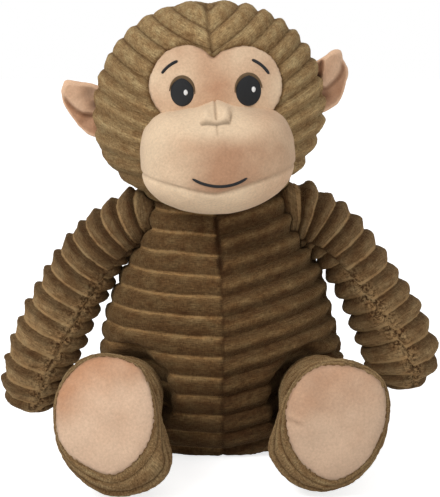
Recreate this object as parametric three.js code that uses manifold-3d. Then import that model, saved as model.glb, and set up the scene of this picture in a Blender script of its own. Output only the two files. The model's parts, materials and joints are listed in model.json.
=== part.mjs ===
// Microwavable plush monkey, seated: wide-rib plush covers, short-pile face, soles and ears,
// fibre stuffing, and a grain pouch in the torso that stores the heat.
// Millimetres, +Z up, -Y is the front. Left and right are the toy's own, so its left is at +X.

import * as THREE from 'three';
import Module from 'manifold-3d';

const wasm = await Module();
wasm.setup();

// Fabric, ribs and seams
const RIB_PITCH = 13.5;
const RIB_DEPTH = 3;
const FABRIC = 3;
const SEAM_GAP = 0.3;
const THREAD_HEIGHT = 0.8;

// Torso
const TORSO_WIDTH = 168;
const TORSO_FRONT = 66;
const TORSO_BACK = 58;
const TORSO_HEIGHT = 180;
const NECK_CUT = 148;
const BELLY_SLOPE_LEFT = 0.26;
const BELLY_SLOPE_RIGHT = 0.06;

// Grain pouch
const POUCH_WIDTH = 88;
const POUCH_DEPTH = 54;
const POUCH_HEIGHT = 92;
const POUCH_LIFT = 98;
const POUCH_CLOTH = 1.5;

// Head
const HEAD_WIDTH = 151;
const HEAD_DEPTH = 126;
const HEAD_HEIGHT = 140;
const HEAD_LIFT = 224;
const HEAD_SIDE = -7;
const HEAD_FORWARD = 5;
const CROWN_SLANT = 34;
const NAPE_SEAM = 22;

// Face
const FACE_SIDE = -2.5;
const MUZZLE_WIDTH = 100;
const MUZZLE_DEPTH = 88;
const MUZZLE_HEIGHT = 73;
const MUZZLE_FORWARD = 52;
const MUZZLE_SIDE = -1.5;
const MUZZLE_DROP = 24.5;
const MUZZLE_SQUARENESS = 2.3;
const CHIN_SEAM_DROP = 18;
const CHIN_SEAM_TILT = 12;
const NOSE_WIDTH = 21;
const NOSE_HEIGHT = 14;
const NOSE_REACH = 9;
const NOSE_LIFT = 27;
const NOSE_FORWARD = 30;
const PATCH_WIDTH = 86;
const PATCH_RISE = 44;
const EYE_SPACING = 43;
const EYE_WIDTH = 15.5;
const EYE_HEIGHT = 18;
const EYE_LIFT = 16;
const EYELID_WIDTH = 3;
const GLINT_SIZE = 3.4;
const BROW_LENGTH = 12.5;
const BROW_LIFT = 31;
const BROW_OUT = 7.5;
const STROKE = 1.6;
const MOUTH_WIDTH = 35;
const MOUTH_SAG = 6;
const MOUTH_DROP = 13;

// Ears
const EAR_REACH = 25;
const EAR_HEIGHT = 39;
const EAR_THICKNESS = 9;
const EAR_LIFT_RIGHT = -2;
const EAR_LIFT_LEFT = 17;
const EAR_TURN_RIGHT = 8;
const EAR_TURN_LEFT = 40;

// Arms
const SHOULDER_LIFT = 149;
const SHOULDER_INSET = 10;
const SHOULDER_CLEARANCE = 1;
const DISH_DEPTH = 28;
const ARM_ROOT = 25;
const ARM_CAP = 15;
const ARM_LENGTH_RIGHT = 140;
const ARM_LENGTH_LEFT = 128;
const ARM_WIDTH = 46;
const ARM_RIB_PITCH = 11.7;
const HAND_WIDTH_RIGHT = 42;
const HAND_WIDTH_LEFT = 48;
const ARM_FLATNESS = 0.92;

// Legs
const HIP_SPREAD = 128;
const HIP_FORWARD = 46;
const HIP_LIFT = 40;
const HIP_BALL = 34;
const HIP_CLEARANCE = 0.7;
const LEG_LENGTH = 110;
const LEG_SPLAY = 3;
const LEG_WIDTH = 62;
const FOOT_WIDTH = 77;
const FOOT_HEIGHT_RIGHT = 97;
const FOOT_HEIGHT_LEFT = 91;
const SOLE_TILT_RIGHT = 14;
const SOLE_TILT_LEFT = 4;
const HEEL_FLAT = 1;
const SOLE_WIDTH = 61;
const SOLE_HEIGHT = 70;
const SOLE_DOME = 5;
const LEG_RIB_START = 18;

const COLOURS = {
  plushHead: '#8c6f4f', plushBody: '#664e34', plushArm: '#6d5338', plushLeg: '#7d644b',
  shortPile: '#c8a583', fibre: '#ece7dc', cotton: '#d9cbb0', grain: '#b39455',
  thread: '#2c2a28', threadBrown: '#69543a', threadWhite: '#f4f1ea',
};

const material = (name) =>
  new THREE.MeshStandardMaterial({ color: COLOURS[name], roughness: 0.95, metalness: 0 });

const toy = new THREE.Group();

// Solids from points

// Skins a closed solid over a stack of rings, with a pole at each end.
function skin(first, rings, last) {
  const count = rings[0].length;
  const points = [first, ...rings.flat(), last];
  const at = (row, column) => 1 + row * count + (column % count);
  const faces = [];
  for (let column = 0; column < count; column += 1) {
    faces.push(0, at(0, column + 1), at(0, column));
    for (let row = 0; row + 1 < rings.length; row += 1) {
      faces.push(at(row, column), at(row, column + 1), at(row + 1, column + 1));
      faces.push(at(row, column), at(row + 1, column + 1), at(row + 1, column));
    }
    faces.push(at(rings.length - 1, column), at(rings.length - 1, column + 1), points.length - 1);
  }
  const vertProperties = new Float32Array(points.flatMap((point) => point.toArray()));
  return new wasm.Manifold(new wasm.Mesh({ numProp: 3, vertProperties, triVerts: new Uint32Array(faces) }));
}

// Turns a closed three.js geometry into a solid.
function solid(geometry) {
  const flat = geometry.index ? geometry.toNonIndexed() : geometry;
  const mesh = new wasm.Mesh({
    numProp: 3,
    vertProperties: new Float32Array(flat.attributes.position.array),
    triVerts: new Uint32Array(flat.attributes.position.count).map((_, index) => index),
  });
  mesh.merge();
  return new wasm.Manifold(mesh);
}

// Drops the crumbs that two curved cuts leave where they almost meet.
const CRUMB = 1;
function withoutCrumbs(form) {
  const bodies = form.decompose().filter((body) => body.volume() > CRUMB);
  return bodies.length === 1 ? bodies[0] : form;
}

function addPiece(name, form, colour) {
  const { vertProperties, triVerts } = withoutCrumbs(form).getMesh();
  const geometry = new THREE.BufferGeometry();
  geometry.setAttribute('position', new THREE.BufferAttribute(new Float32Array(vertProperties), 3));
  geometry.setIndex(new THREE.BufferAttribute(new Uint32Array(triVerts), 1));
  geometry.computeVertexNormals();
  const mesh = new THREE.Mesh(geometry, material(colour));
  mesh.name = name;
  toy.add(mesh);
}

const vector = (x, y, z) => new THREE.Vector3(x, y, z);
const radians = THREE.MathUtils.degToRad;

// Reads a smooth value from a list of [place, value] stations.
function between(stations, place) {
  const last = stations.length - 1;
  if (place <= stations[0][0]) return stations[0][1];
  if (place >= stations[last][0]) return stations[last][1];
  const places = stations.map((station) => station[0]);
  const values = stations.map((station) => station[1]);
  return new THREE.CubicInterpolant(places, values, 1).evaluate(place)[0];
}

// Everything on one side of a plane: the side that the normal points to.
const REACH = 1000;
function halfSpace(point, normal) {
  const box = new THREE.BoxGeometry(2 * REACH, 2 * REACH, REACH);
  box.translate(0, 0, REACH / 2);
  const turn = new THREE.Quaternion().setFromUnitVectors(vector(0, 0, 1), normal.clone().normalize());
  box.applyQuaternion(turn).translate(point.x, point.y, point.z);
  return solid(box);
}

// Splits a solid at a plane and leaves a seam gap: [side of the normal, other side].
function splitAt(form, point, normal) {
  const half = normal.clone().normalize().multiplyScalar(SEAM_GAP / 2);
  return [
    form.intersect(halfSpace(point.clone().add(half), normal)),
    form.intersect(halfSpace(point.clone().sub(half), normal.clone().negate())),
  ];
}

// Torso form: stations of [share of height, share of full size], seat first

const TORSO_SIDE_PROFILE = [
  [0, 0.76], [0.04, 0.89], [0.12, 0.975], [0.235, 1], [0.34, 0.975], [0.53, 0.865], [0.67, 0.765],
  [0.8, 0.66], [0.88, 0.56], [0.94, 0.45], [0.98, 0.3],
];
const TORSO_FRONT_PROFILE = [
  [0, 0.74], [0.04, 0.86], [0.12, 0.96], [0.235, 1], [0.34, 0.99], [0.53, 0.89], [0.67, 0.78],
  [0.8, 0.66], [0.88, 0.57], [0.94, 0.46], [0.98, 0.3],
];
const TORSO_COLUMNS = 20;
const LINING_COLUMNS = 12;
const LINING_ROWS = 8;

const torsoHalfWidth = (height) => between(TORSO_SIDE_PROFILE, height / TORSO_HEIGHT) * TORSO_WIDTH / 2;

// One ring of the torso: the ribs of each belly panel climb sideways by that panel's slope.
function torsoRing(height, inset, depth, slope, columns) {
  const share = height / TORSO_HEIGHT;
  const fade = Math.sin(Math.PI * THREE.MathUtils.clamp(share, 0, 1));
  return Array.from({ length: columns }, (_, column) => {
    const angle = (2 * Math.PI * column) / columns;
    const climb = slope * Math.abs(Math.cos(angle)) * (TORSO_WIDTH / 2) * fade;
    const level = THREE.MathUtils.clamp(height + climb - (slope * TORSO_WIDTH * fade) / 4, inset, TORSO_HEIGHT);
    const wide = torsoHalfWidth(level) - inset - depth;
    const frontBack = Math.sin(angle) < 0 ? TORSO_FRONT : TORSO_BACK;
    const deep = between(TORSO_FRONT_PROFILE, level / TORSO_HEIGHT) * frontBack - inset - depth;
    return vector(wide * Math.cos(angle), deep * Math.sin(angle), level);
  });
}

function torsoSolid(inset, slope, ribbed) {
  const low = inset;
  const high = 0.975 * TORSO_HEIGHT - inset;
  const ribs = Math.round((high - low) / RIB_PITCH);
  const rows = ribbed ? 2 * ribs : LINING_ROWS;
  const columns = ribbed ? TORSO_COLUMNS : LINING_COLUMNS;
  const rings = [];
  for (let row = 0; row <= rows; row += 1) {
    const groove = ribbed && row % 2 === 1 ? RIB_DEPTH : 0;
    rings.push(torsoRing(low + ((high - low) * row) / rows, inset, groove, slope, columns));
  }
  return skin(vector(0, 0, low), rings, vector(0, 0, TORSO_HEIGHT - inset));
}

// Joint seats: round about their own axes, so that the parts turn without touching

const SEAT_SIDES = 14;

// A socket's flat sides are moved out until they clear the corners of what turns in it.
const roundUp = (gap) => (gap > 0 ? 1 / Math.cos(Math.PI / SEAT_SIDES) : 1);

// The round top of the torso, on which the head turns: from the shoulders to the last station.
const NECK_FROM = 0.8;
const NECK_TO = 0.98;
const NECK_STEPS = 9;
function neckSeat(gap) {
  const profile = [new THREE.Vector2(0, NECK_FROM * TORSO_HEIGHT)];
  for (let step = 0; step <= NECK_STEPS; step += 1) {
    const share = step / NECK_STEPS;
    const height = TORSO_HEIGHT * (NECK_FROM + (NECK_TO - NECK_FROM) * share);
    profile.push(new THREE.Vector2(torsoHalfWidth(height) + gap, height + gap * share));
  }
  profile.push(new THREE.Vector2(0, TORSO_HEIGHT + gap));
  const lathe = new THREE.LatheGeometry(profile, SEAT_SIDES);
  return solid(lathe.rotateX(Math.PI / 2));
}

const shoulderPlace = (side) =>
  vector(side * (torsoHalfWidth(SHOULDER_LIFT) - SHOULDER_INSET), 0, SHOULDER_LIFT);

// Height of the underside of the head where it sweeps past a distance from the neck axis.
function headUnderside(distance) {
  const share = THREE.MathUtils.clamp((distance - Math.abs(HEAD_SIDE)) / (HEAD_WIDTH / 2), 0, 1);
  return HEAD_LIFT - (HEAD_HEIGHT / 2) * Math.sqrt(1 - share * share);
}

// The dish in the side of the torso that the arm root turns in, kept clear of the turning head.
const SHOULDER_DISH = [0, 0.25, 0.5, 0.75, 1];
function shoulderSeat(side, gap) {
  const place = shoulderPlace(side);
  const profile = [new THREE.Vector2(0, -gap)];
  SHOULDER_DISH.forEach((share) => {
    const out = share * DISH_DEPTH;
    const radius = headUnderside(Math.abs(place.x) + out) - SHOULDER_LIFT - SHOULDER_CLEARANCE;
    profile.push(new THREE.Vector2((radius + gap) * roundUp(gap), out - gap));
  });
  profile.push(new THREE.Vector2(0, DISH_DEPTH));
  const lathe = new THREE.LatheGeometry(profile, SEAT_SIDES).rotateZ((-side * Math.PI) / 2);
  return solid(lathe.translate(place.x, place.y, place.z));
}

// All the room that the arm may fill: its dish, and whatever lies outside it.
function armRoom(side, gap) {
  const rim = shoulderPlace(side).add(vector(side * (DISH_DEPTH - SEAM_GAP), 0, 0));
  return shoulderSeat(side, gap).add(halfSpace(rim, vector(side, 0, 0)));
}

const hipPlace = (side) => vector((side * HIP_SPREAD) / 2, -HIP_FORWARD, HIP_LIFT);

function hipSeat(side, gap) {
  const place = hipPlace(side);
  const radius = (HIP_BALL + HIP_CLEARANCE + gap) * roundUp(gap);
  return solid(new THREE.SphereGeometry(radius, SEAT_SIDES, SEAT_SIDES / 2).translate(place.x, place.y, place.z));
}

// Torso pieces

function torsoOpenings(gap) {
  return [shoulderSeat(1, gap), shoulderSeat(-1, gap), hipSeat(1, gap), hipSeat(-1, gap)];
}

function cutBy(form, cutters) {
  return cutters.reduce((rest, cutter) => rest.subtract(cutter), form);
}

const belowNeck = halfSpace(vector(0, 0, NECK_CUT), vector(0, 0, -1));

function buildTorso() {
  const lining = torsoSolid(FABRIC + RIB_DEPTH, 0, false);
  const rounded = belowNeck.add(neckSeat(-SEAM_GAP / 2));
  const cover = (slope) =>
    cutBy(torsoSolid(0, slope, true).subtract(lining).intersect(rounded), torsoOpenings(SEAM_GAP));
  const middle = vector(0, 0, 0);
  const sideways = vector(1, 0, 0);
  const forward = vector(0, -1, 0);
  const bellyLeft = splitAt(cover(BELLY_SLOPE_LEFT), middle, sideways)[0];
  const bellyRight = splitAt(cover(BELLY_SLOPE_RIGHT), middle, sideways)[1];
  const [backLeft, backRight] = splitAt(splitAt(cover(0), middle, forward)[1], middle, sideways);
  addPiece('belly_panel_left', splitAt(bellyLeft, middle, forward)[0], 'plushBody');
  addPiece('belly_panel_right', splitAt(bellyRight, middle, forward)[0], 'plushBody');
  addPiece('back_panel_left', backLeft, 'plushBody');
  addPiece('back_panel_right', backRight, 'plushBody');

  const pouch = (inset) => {
    const ball = new THREE.SphereGeometry(1, 12, 8).rotateX(Math.PI / 2);
    ball.scale(POUCH_WIDTH / 2 - inset, POUCH_DEPTH / 2 - inset, POUCH_HEIGHT / 2 - inset);
    return solid(ball.translate(0, 0, POUCH_LIFT));
  };
  const fibre = torsoSolid(FABRIC + RIB_DEPTH + SEAM_GAP, 0, false).subtract(pouch(-SEAM_GAP));
  const packed = cutBy(fibre.intersect(rounded), torsoOpenings(2 * SEAM_GAP));
  const [fibreFront, fibreBack] = splitAt(packed, middle, forward);
  addPiece('torso_fibre_front', fibreFront, 'fibre');
  addPiece('torso_fibre_back', fibreBack, 'fibre');
  const [pouchFront, pouchBack] = splitAt(pouch(0).subtract(pouch(POUCH_CLOTH)), middle, forward);
  addPiece('grain_pouch_front', pouchFront, 'cotton');
  addPiece('grain_pouch_back', pouchBack, 'cotton');
  addPiece('grain_fill', pouch(POUCH_CLOTH + SEAM_GAP), 'grain');
}

// Limbs: rings square to a curved centre line, round caps at both ends

const LIMB_LINING_COLUMNS = 8;
const CAP_STEPS = [0.35, 0.7];

// A limb holds its centre curve, its cap lengths, and its half width and height by station.
function limbRing(limb, place, wide, deep, columns = limb.columns) {
  const share = THREE.MathUtils.clamp(place / limb.length, 0, 1);
  const along = limb.curve.getTangentAt(share);
  const centre = limb.curve.getPointAt(share).addScaledVector(along, place - share * limb.length);
  const deepWay = limb.deepAxis.clone().addScaledVector(along, -limb.deepAxis.dot(along)).normalize();
  const wideWay = deepWay.clone().cross(along);
  return Array.from({ length: columns }, (_, column) => {
    const angle = (2 * Math.PI * column) / columns;
    return centre.clone()
      .addScaledVector(wideWay, wide * Math.cos(angle))
      .addScaledVector(deepWay, deep * Math.sin(angle));
  });
}

const poleOf = (limb, place) => {
  const ring = limbRing(limb, place, 0, 0);
  return ring[0];
};

function limbSolid(limb, inset, ribbed) {
  const start = limb.ribStart;
  const end = limb.flatTip ? limb.length - inset : limb.length;
  const ribs = Math.round((limb.length - start) / limb.ribPitch);
  const rows = ribbed ? 2 * ribs : ribs;
  const columns = ribbed ? limb.columns : LIMB_LINING_COLUMNS;
  const size = (place) => [
    between(limb.width, place / limb.length) - inset,
    between(limb.height, place / limb.length) - inset,
  ];
  const rings = [];
  const [rootWide, rootDeep] = size(0);
  const reach = limb.root - inset;
  [...CAP_STEPS].reverse().forEach((turn) => {
    const angle = (turn * Math.PI) / 2;
    const shrink = Math.cos(angle);
    rings.push(limbRing(limb, -reach * Math.sin(angle), rootWide * shrink, rootDeep * shrink, columns));
  });
  if (start > 0) rings.push(limbRing(limb, 0, rootWide, rootDeep, columns));
  for (let row = 0; row <= rows; row += 1) {
    const place = start + ((end - start) * row) / rows;
    const groove = ribbed && row % 2 === 1 ? RIB_DEPTH : 0;
    const [wide, deep] = size(place);
    rings.push(limbRing(limb, place, wide - groove, deep - groove, columns));
  }
  const [tipWide, tipDeep] = size(limb.length);
  const tip = limb.tip - inset;
  (limb.flatTip ? [] : CAP_STEPS).forEach((turn) => {
    const angle = (turn * Math.PI) / 2;
    const shrink = Math.cos(angle);
    rings.push(limbRing(limb, limb.length + tip * Math.sin(angle), tipWide * shrink, tipDeep * shrink, columns));
  });
  return skin(poleOf(limb, -reach), rings, poleOf(limb, limb.length + tip));
}

// Centre lines of the arms: shares of the arm's own length, out, forward and up from the shoulder.
const ARM_PATH_RIGHT = [[0.02, 0, 0.02], [0.135, 0.015, -0.038], [0.246, 0.02, -0.118], [0.338, 0.03, -0.237],
  [0.421, 0.045, -0.379], [0.489, 0.06, -0.525], [0.546, 0.07, -0.657], [0.578, 0.075, -0.757]];
const ARM_PATH_LEFT = [[0.02, 0, 0.02], [0.12, 0, 0.008], [0.223, 0.005, -0.055], [0.328, 0.01, -0.172],
  [0.437, 0.01, -0.344], [0.539, 0.005, -0.531], [0.6, 0, -0.7]];

// Half widths along each arm, as [share of its length, share of the arm width].
const ARM_BULGE_RIGHT = [[0.25, 0.48], [0.5, 0.49], [0.85, 0.51]];
const ARM_BULGE_LEFT = [[0.3, 0.475], [0.6, 0.495], [0.82, 0.54]];

function armLimb(side) {
  const onLeft = side > 0;
  const length = onLeft ? ARM_LENGTH_LEFT : ARM_LENGTH_RIGHT;
  const hand = (onLeft ? HAND_WIDTH_LEFT : HAND_WIDTH_RIGHT) / 2;
  const place = shoulderPlace(side);
  const points = (onLeft ? ARM_PATH_LEFT : ARM_PATH_RIGHT).map(([out, forward, up]) =>
    vector(side * out * length, -forward * length, up * length).add(place));
  const curve = new THREE.CatmullRomCurve3(points);
  const bulge = onLeft ? ARM_BULGE_LEFT : ARM_BULGE_RIGHT;
  const sizes = (scale, root) =>
    [[0, root], ...bulge.map(([at, share]) => [at, share * ARM_WIDTH * scale]), [1, hand * scale]];
  return {
    curve,
    length: curve.getLength(),
    root: ARM_CAP,
    tip: hand,
    width: sizes(1, 0.92 * ARM_ROOT),
    height: sizes(ARM_FLATNESS, ARM_ROOT),
    deepAxis: vector(0, 1, 0),
    columns: 10,
    ribStart: 0,
    ribPitch: ARM_RIB_PITCH,
  };
}

function buildArm(side, label) {
  const limb = armLimb(side);
  const lining = limbSolid(limb, FABRIC + RIB_DEPTH, false).intersect(armRoom(side, -FABRIC));
  const cover = limbSolid(limb, 0, true).intersect(armRoom(side, 0)).subtract(lining);
  const down = limb.curve.getTangentAt(0.5);
  const seam = vector(0, 1, 0).cross(down);
  const middle = limb.curve.getPointAt(0.5);
  const [one, other] = splitAt(cover, middle, seam);
  const outer = side * seam.x > 0 ? one : other;
  const inner = side * seam.x > 0 ? other : one;
  addPiece(`arm_outer_panel_${label}`, outer, 'plushArm');
  addPiece(`arm_inner_panel_${label}`, inner, 'plushArm');
  const fibre = limbSolid(limb, FABRIC + RIB_DEPTH + SEAM_GAP, false);
  addPiece(`arm_fibre_${label}`, fibre.intersect(armRoom(side, -FABRIC - SEAM_GAP)), 'fibre');
}

function legLimb(side) {
  const onLeft = side > 0;
  const tilt = onLeft ? SOLE_TILT_LEFT : SOLE_TILT_RIGHT;
  const tall = onLeft ? FOOT_HEIGHT_LEFT : FOOT_HEIGHT_RIGHT;
  const ankle = tall / 2 - HEEL_FLAT - HIP_LIFT;
  const sole = ankle + 0.2 * LEG_LENGTH * Math.tan(radians(tilt));
  const hip = hipPlace(side);
  const out = Math.sin(radians(LEG_SPLAY)) * side;
  const ahead = -Math.cos(radians(LEG_SPLAY));
  const at = (share, lift) => vector(out * share * LEG_LENGTH, ahead * share * LEG_LENGTH, lift).add(hip);
  const curve = new THREE.CatmullRomCurve3([at(0, 0), at(0.4, 0.4 * ankle), at(0.8, ankle), at(1, sole)]);
  return {
    curve,
    length: curve.getLength(),
    root: HIP_BALL,
    tip: SOLE_DOME,
    flatTip: true,
    width: [[0, HIP_BALL], [0.15, 0.47 * LEG_WIDTH], [0.32, 0.54 * LEG_WIDTH], [0.6, 0.47 * FOOT_WIDTH],
      [0.85, 0.5 * FOOT_WIDTH], [0.95, 0.46 * FOOT_WIDTH], [1, SOLE_WIDTH / 2]],
    height: [[0, HIP_BALL], [0.15, 0.47 * LEG_WIDTH], [0.32, 0.56 * LEG_WIDTH], [0.6, 0.44 * tall],
      [0.85, 0.5 * tall], [0.95, 0.46 * tall], [1, SOLE_HEIGHT / 2]],
    deepAxis: vector(0, 0, 1),
    columns: 12,
    ribStart: LEG_RIB_START,
    ribPitch: RIB_PITCH,
  };
}

// A straight bar with the outline of the sole, round the front end of the leg.
function solePlug(limb, gap) {
  const end = limb.curve.getPointAt(1);
  const along = limb.curve.getTangentAt(1);
  const wide = SOLE_WIDTH / 2 + gap;
  const deep = SOLE_HEIGHT / 2 + gap;
  const front = limbRing(limb, limb.length + 2 * SOLE_DOME, wide, deep);
  const depth = FABRIC + RIB_DEPTH + SEAM_GAP + gap;
  const back = limbRing(limb, limb.length - depth, wide, deep);
  const poleBack = end.clone().addScaledVector(along, -depth);
  return skin(poleBack, [back, front], end.clone().addScaledVector(along, 2 * SOLE_DOME));
}

const aboveFloor = halfSpace(vector(0, 0, 0), vector(0, 0, 1));

function buildLeg(side, label) {
  const limb = legLimb(side);
  const lining = limbSolid(limb, FABRIC + RIB_DEPTH, false);
  const cover = limbSolid(limb, 0, true).intersect(aboveFloor).subtract(lining);
  addPiece(`sole_${label}`, cover.intersect(solePlug(limb, 0)), 'shortPile');
  const upright = limb.curve.getTangentAt(0.5).cross(vector(0, 0, 1));
  const panels = splitAt(cover.subtract(solePlug(limb, SEAM_GAP)), limb.curve.getPointAt(0.5), upright);
  const outerFirst = side * upright.x > 0;
  addPiece(`leg_outer_panel_${label}`, panels[outerFirst ? 0 : 1], 'plushLeg');
  addPiece(`leg_inner_panel_${label}`, panels[outerFirst ? 1 : 0], 'plushLeg');
  addPiece(`leg_fibre_${label}`, limbSolid(limb, FABRIC + RIB_DEPTH + SEAM_GAP, false), 'fibre');
}

// Head

const headCentre = vector(HEAD_SIDE, -HEAD_FORWARD, HEAD_LIFT);
const muzzleCentre = vector(0, -MUZZLE_FORWARD, -MUZZLE_DROP).add(headCentre).setX(MUZZLE_SIDE);

// An egg with its rows square to an axis that leans sideways. A power over 2 squares it up.
function egg(centre, size, inset, rows, columns, slant, grooves, power = 2) {
  const lean = radians(slant);
  const point = (turn, angle, groove) => {
    const ball = vector(Math.sin(turn) * Math.cos(angle), Math.sin(turn) * Math.sin(angle), -Math.cos(turn));
    ball.applyAxisAngle(vector(0, 1, 0), lean);
    const spread = ball.toArray().reduce((sum, part) => sum + Math.abs(part) ** power, 0);
    ball.multiplyScalar(spread ** (-1 / power));
    const scale = size.clone().multiplyScalar(0.5).subScalar(inset + groove);
    return ball.multiply(scale).add(centre);
  };
  const rings = [];
  for (let row = 1; row < rows; row += 1) {
    const groove = grooves && row % 2 === 1 ? RIB_DEPTH : 0;
    rings.push(Array.from({ length: columns }, (_, column) =>
      point((Math.PI * row) / rows, (2 * Math.PI * column) / columns, groove)));
  }
  return skin(point(0, 0, 0), rings, point(Math.PI, 0, 0));
}

const headSize = vector(HEAD_WIDTH, HEAD_DEPTH, HEAD_HEIGHT);
const muzzleSize = vector(MUZZLE_WIDTH, MUZZLE_DEPTH, MUZZLE_HEIGHT);
const HEAD_ROWS = 2 * Math.round((Math.PI * HEAD_HEIGHT) / 4 / RIB_PITCH) * 2;
const headEgg = (inset) => egg(headCentre, headSize, inset, 12, 16, 0, false);
const headRibbed = (slant, inset = 0) => egg(headCentre, headSize, inset, HEAD_ROWS, 16, slant, true);
const muzzleEgg = (inset) => egg(muzzleCentre, muzzleSize, inset, 10, 16, 0, false, MUZZLE_SQUARENESS);

// Runs a flat outline, drawn in X and Z, forwards out of the head or the muzzle.
function frontBar(shape, start = headCentre) {
  const bar = new THREE.ExtrudeGeometry(shape, { depth: REACH / 4, bevelEnabled: false, curveSegments: 5 });
  return solid(bar.rotateX(Math.PI / 2).translate(0, start.y, 0));
}

// The heart-shaped outline of the face patch, grown by a gap.
function patchShape(gap) {
  const half = PATCH_WIDTH / 2 + gap;
  const top = headCentre.z + PATCH_RISE + gap;
  const dip = top - 0.11 * PATCH_WIDTH;
  const base = muzzleCentre.z;
  const shape = new THREE.Shape();
  const place = (x, z) => new THREE.Vector2(FACE_SIDE + x, z);
  shape.moveTo(FACE_SIDE - 0.9 * half, base);
  shape.splineThru([place(-half, base + 0.35 * (top - base)), place(-0.97 * half, base + 0.62 * (top - base)),
    place(-0.6 * half, top - 0.02 * (top - base)), place(-0.3 * half, top - 0.02 * (top - base)),
    place(0.05 * half, dip)]);
  shape.splineThru([place(0.36 * half, top), place(0.7 * half, top - 0.05 * (top - base)),
    place(half, base + 0.62 * (top - base)), place(half, base + 0.35 * (top - base)), place(0.9 * half, base)]);
  return shape;
}

function buildHead() {
  const socket = neckSeat(SEAM_GAP / 2).add(belowNeck);
  const lining = headEgg(FABRIC + RIB_DEPTH);
  const patchHole = frontBar(patchShape(SEAM_GAP));
  const cover = (form) => cutBy(form.subtract(lining), [socket, muzzleEgg(-SEAM_GAP)]);
  const seam = vector(FACE_SIDE, 0, 0);
  const backSeam = vector(0, headCentre.y + NAPE_SEAM, 0);
  const sideways = vector(1, 0, 0);
  const backward = vector(0, 1, 0);
  const left = splitAt(cover(headRibbed(-CROWN_SLANT)), seam, sideways)[0];
  const right = splitAt(cover(headRibbed(CROWN_SLANT)), seam, sideways)[1];
  addPiece('crown_panel_left', splitAt(left.subtract(patchHole), backSeam, backward)[1], 'plushHead');
  addPiece('crown_panel_right', splitAt(right.subtract(patchHole), backSeam, backward)[1], 'plushHead');
  addPiece('nape_panel', splitAt(cover(headRibbed(0)), backSeam, backward)[0], 'plushHead');
  addPiece('face_patch', cover(headEgg(0)).intersect(frontBar(patchShape(0))), 'shortPile');

  const nose = vector(FACE_SIDE, muzzleCentre.y - NOSE_FORWARD, muzzleCentre.z + NOSE_LIFT);
  const noseSize = vector(NOSE_WIDTH, 2 * NOSE_REACH, NOSE_HEIGHT);
  const snout = muzzleEgg(0).add(egg(nose, noseSize, 0, 8, 12, 0, false));
  const mask = cutBy(snout.subtract(muzzleEgg(FABRIC)), [headEgg(0), socket]);
  const chinSeam = muzzleCentre.clone().add(vector(0, 0, -CHIN_SEAM_DROP));
  const tilt = radians(CHIN_SEAM_TILT);
  const [upper, lower] = splitAt(mask, chinSeam, vector(0, -Math.sin(tilt), Math.cos(tilt)));
  addPiece('muzzle_panel', upper, 'shortPile');
  addPiece('chin_panel', lower, 'shortPile');
  const stuffing = headEgg(FABRIC + RIB_DEPTH + SEAM_GAP).add(muzzleEgg(FABRIC + SEAM_GAP));
  addPiece('head_fibre', stuffing.subtract(neckSeat(FABRIC)).subtract(socket), 'fibre');
}

// Embroidery: pads of thread that follow the skin they are sewn on

function onSkin(shape, skinAt, lift, start = headCentre) {
  const pad = skinAt(-lift - THREAD_HEIGHT).subtract(skinAt(-lift));
  return pad.intersect(frontBar(shape, start));
}

const offMuzzle = (form) => form.subtract(muzzleEgg(-SEAM_GAP));

function ellipse(x, z, halfWidth, halfHeight) {
  const shape = new THREE.Shape();
  shape.absellipse(x, z, halfWidth, halfHeight, 0, 2 * Math.PI, false, 0);
  return shape;
}

// A line of even width through points, drawn as one closed outline.
function stroke(points, width) {
  const curve = new THREE.SplineCurve(points);
  const steps = 8;
  const side = (sign) => Array.from({ length: steps + 1 }, (_, step) => {
    const along = curve.getTangentAt(step / steps);
    const away = new THREE.Vector2(-along.y, along.x).multiplyScalar((sign * width) / 2);
    return curve.getPointAt(step / steps).add(away);
  });
  return new THREE.Shape([...side(-1), ...side(1).reverse()]);
}

function buildEye(side, label) {
  const x = FACE_SIDE + (side * EYE_SPACING) / 2;
  const z = headCentre.z + EYE_LIFT;
  const wide = EYE_WIDTH / 2;
  const tall = EYE_HEIGHT / 2;
  const ball = ellipse(x, z, wide, tall);
  addPiece(`eye_${label}`, offMuzzle(onSkin(ball, headEgg, SEAM_GAP)), 'thread');
  const glint = ellipse(x + 0.2 * wide, z + 0.1 * tall, GLINT_SIZE / 2, GLINT_SIZE / 2);
  addPiece(`eye_glint_${label}`, onSkin(glint, headEgg, 2 * SEAM_GAP + THREAD_HEIGHT), 'threadWhite');
  const lid = frontBar(ellipse(x, z + 0.5 * EYELID_WIDTH, wide + 0.8 * EYELID_WIDTH, tall + 0.6 * EYELID_WIDTH));
  const hole = frontBar(ellipse(x, z, wide + SEAM_GAP, tall + SEAM_GAP));
  const upper = halfSpace(vector(x, 0, z + 0.35 * tall), vector(0, 0, 1));
  const pad = headEgg(-SEAM_GAP - THREAD_HEIGHT).subtract(headEgg(-SEAM_GAP));
  addPiece(`eyelid_${label}`, pad.intersect(lid).subtract(hole).intersect(upper), 'threadBrown');
  const browZ = headCentre.z + BROW_LIFT;
  const browX = FACE_SIDE + side * (EYE_SPACING / 2 + BROW_OUT);
  const brow = stroke([
    new THREE.Vector2(browX - (side * BROW_LENGTH) / 2, browZ + 0.3 * BROW_LENGTH),
    new THREE.Vector2(browX, browZ + 0.1 * BROW_LENGTH),
    new THREE.Vector2(browX + (side * BROW_LENGTH) / 2, browZ - 0.3 * BROW_LENGTH),
  ], STROKE);
  addPiece(`brow_${label}`, onSkin(brow, headEgg, SEAM_GAP), 'thread');
}

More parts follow.
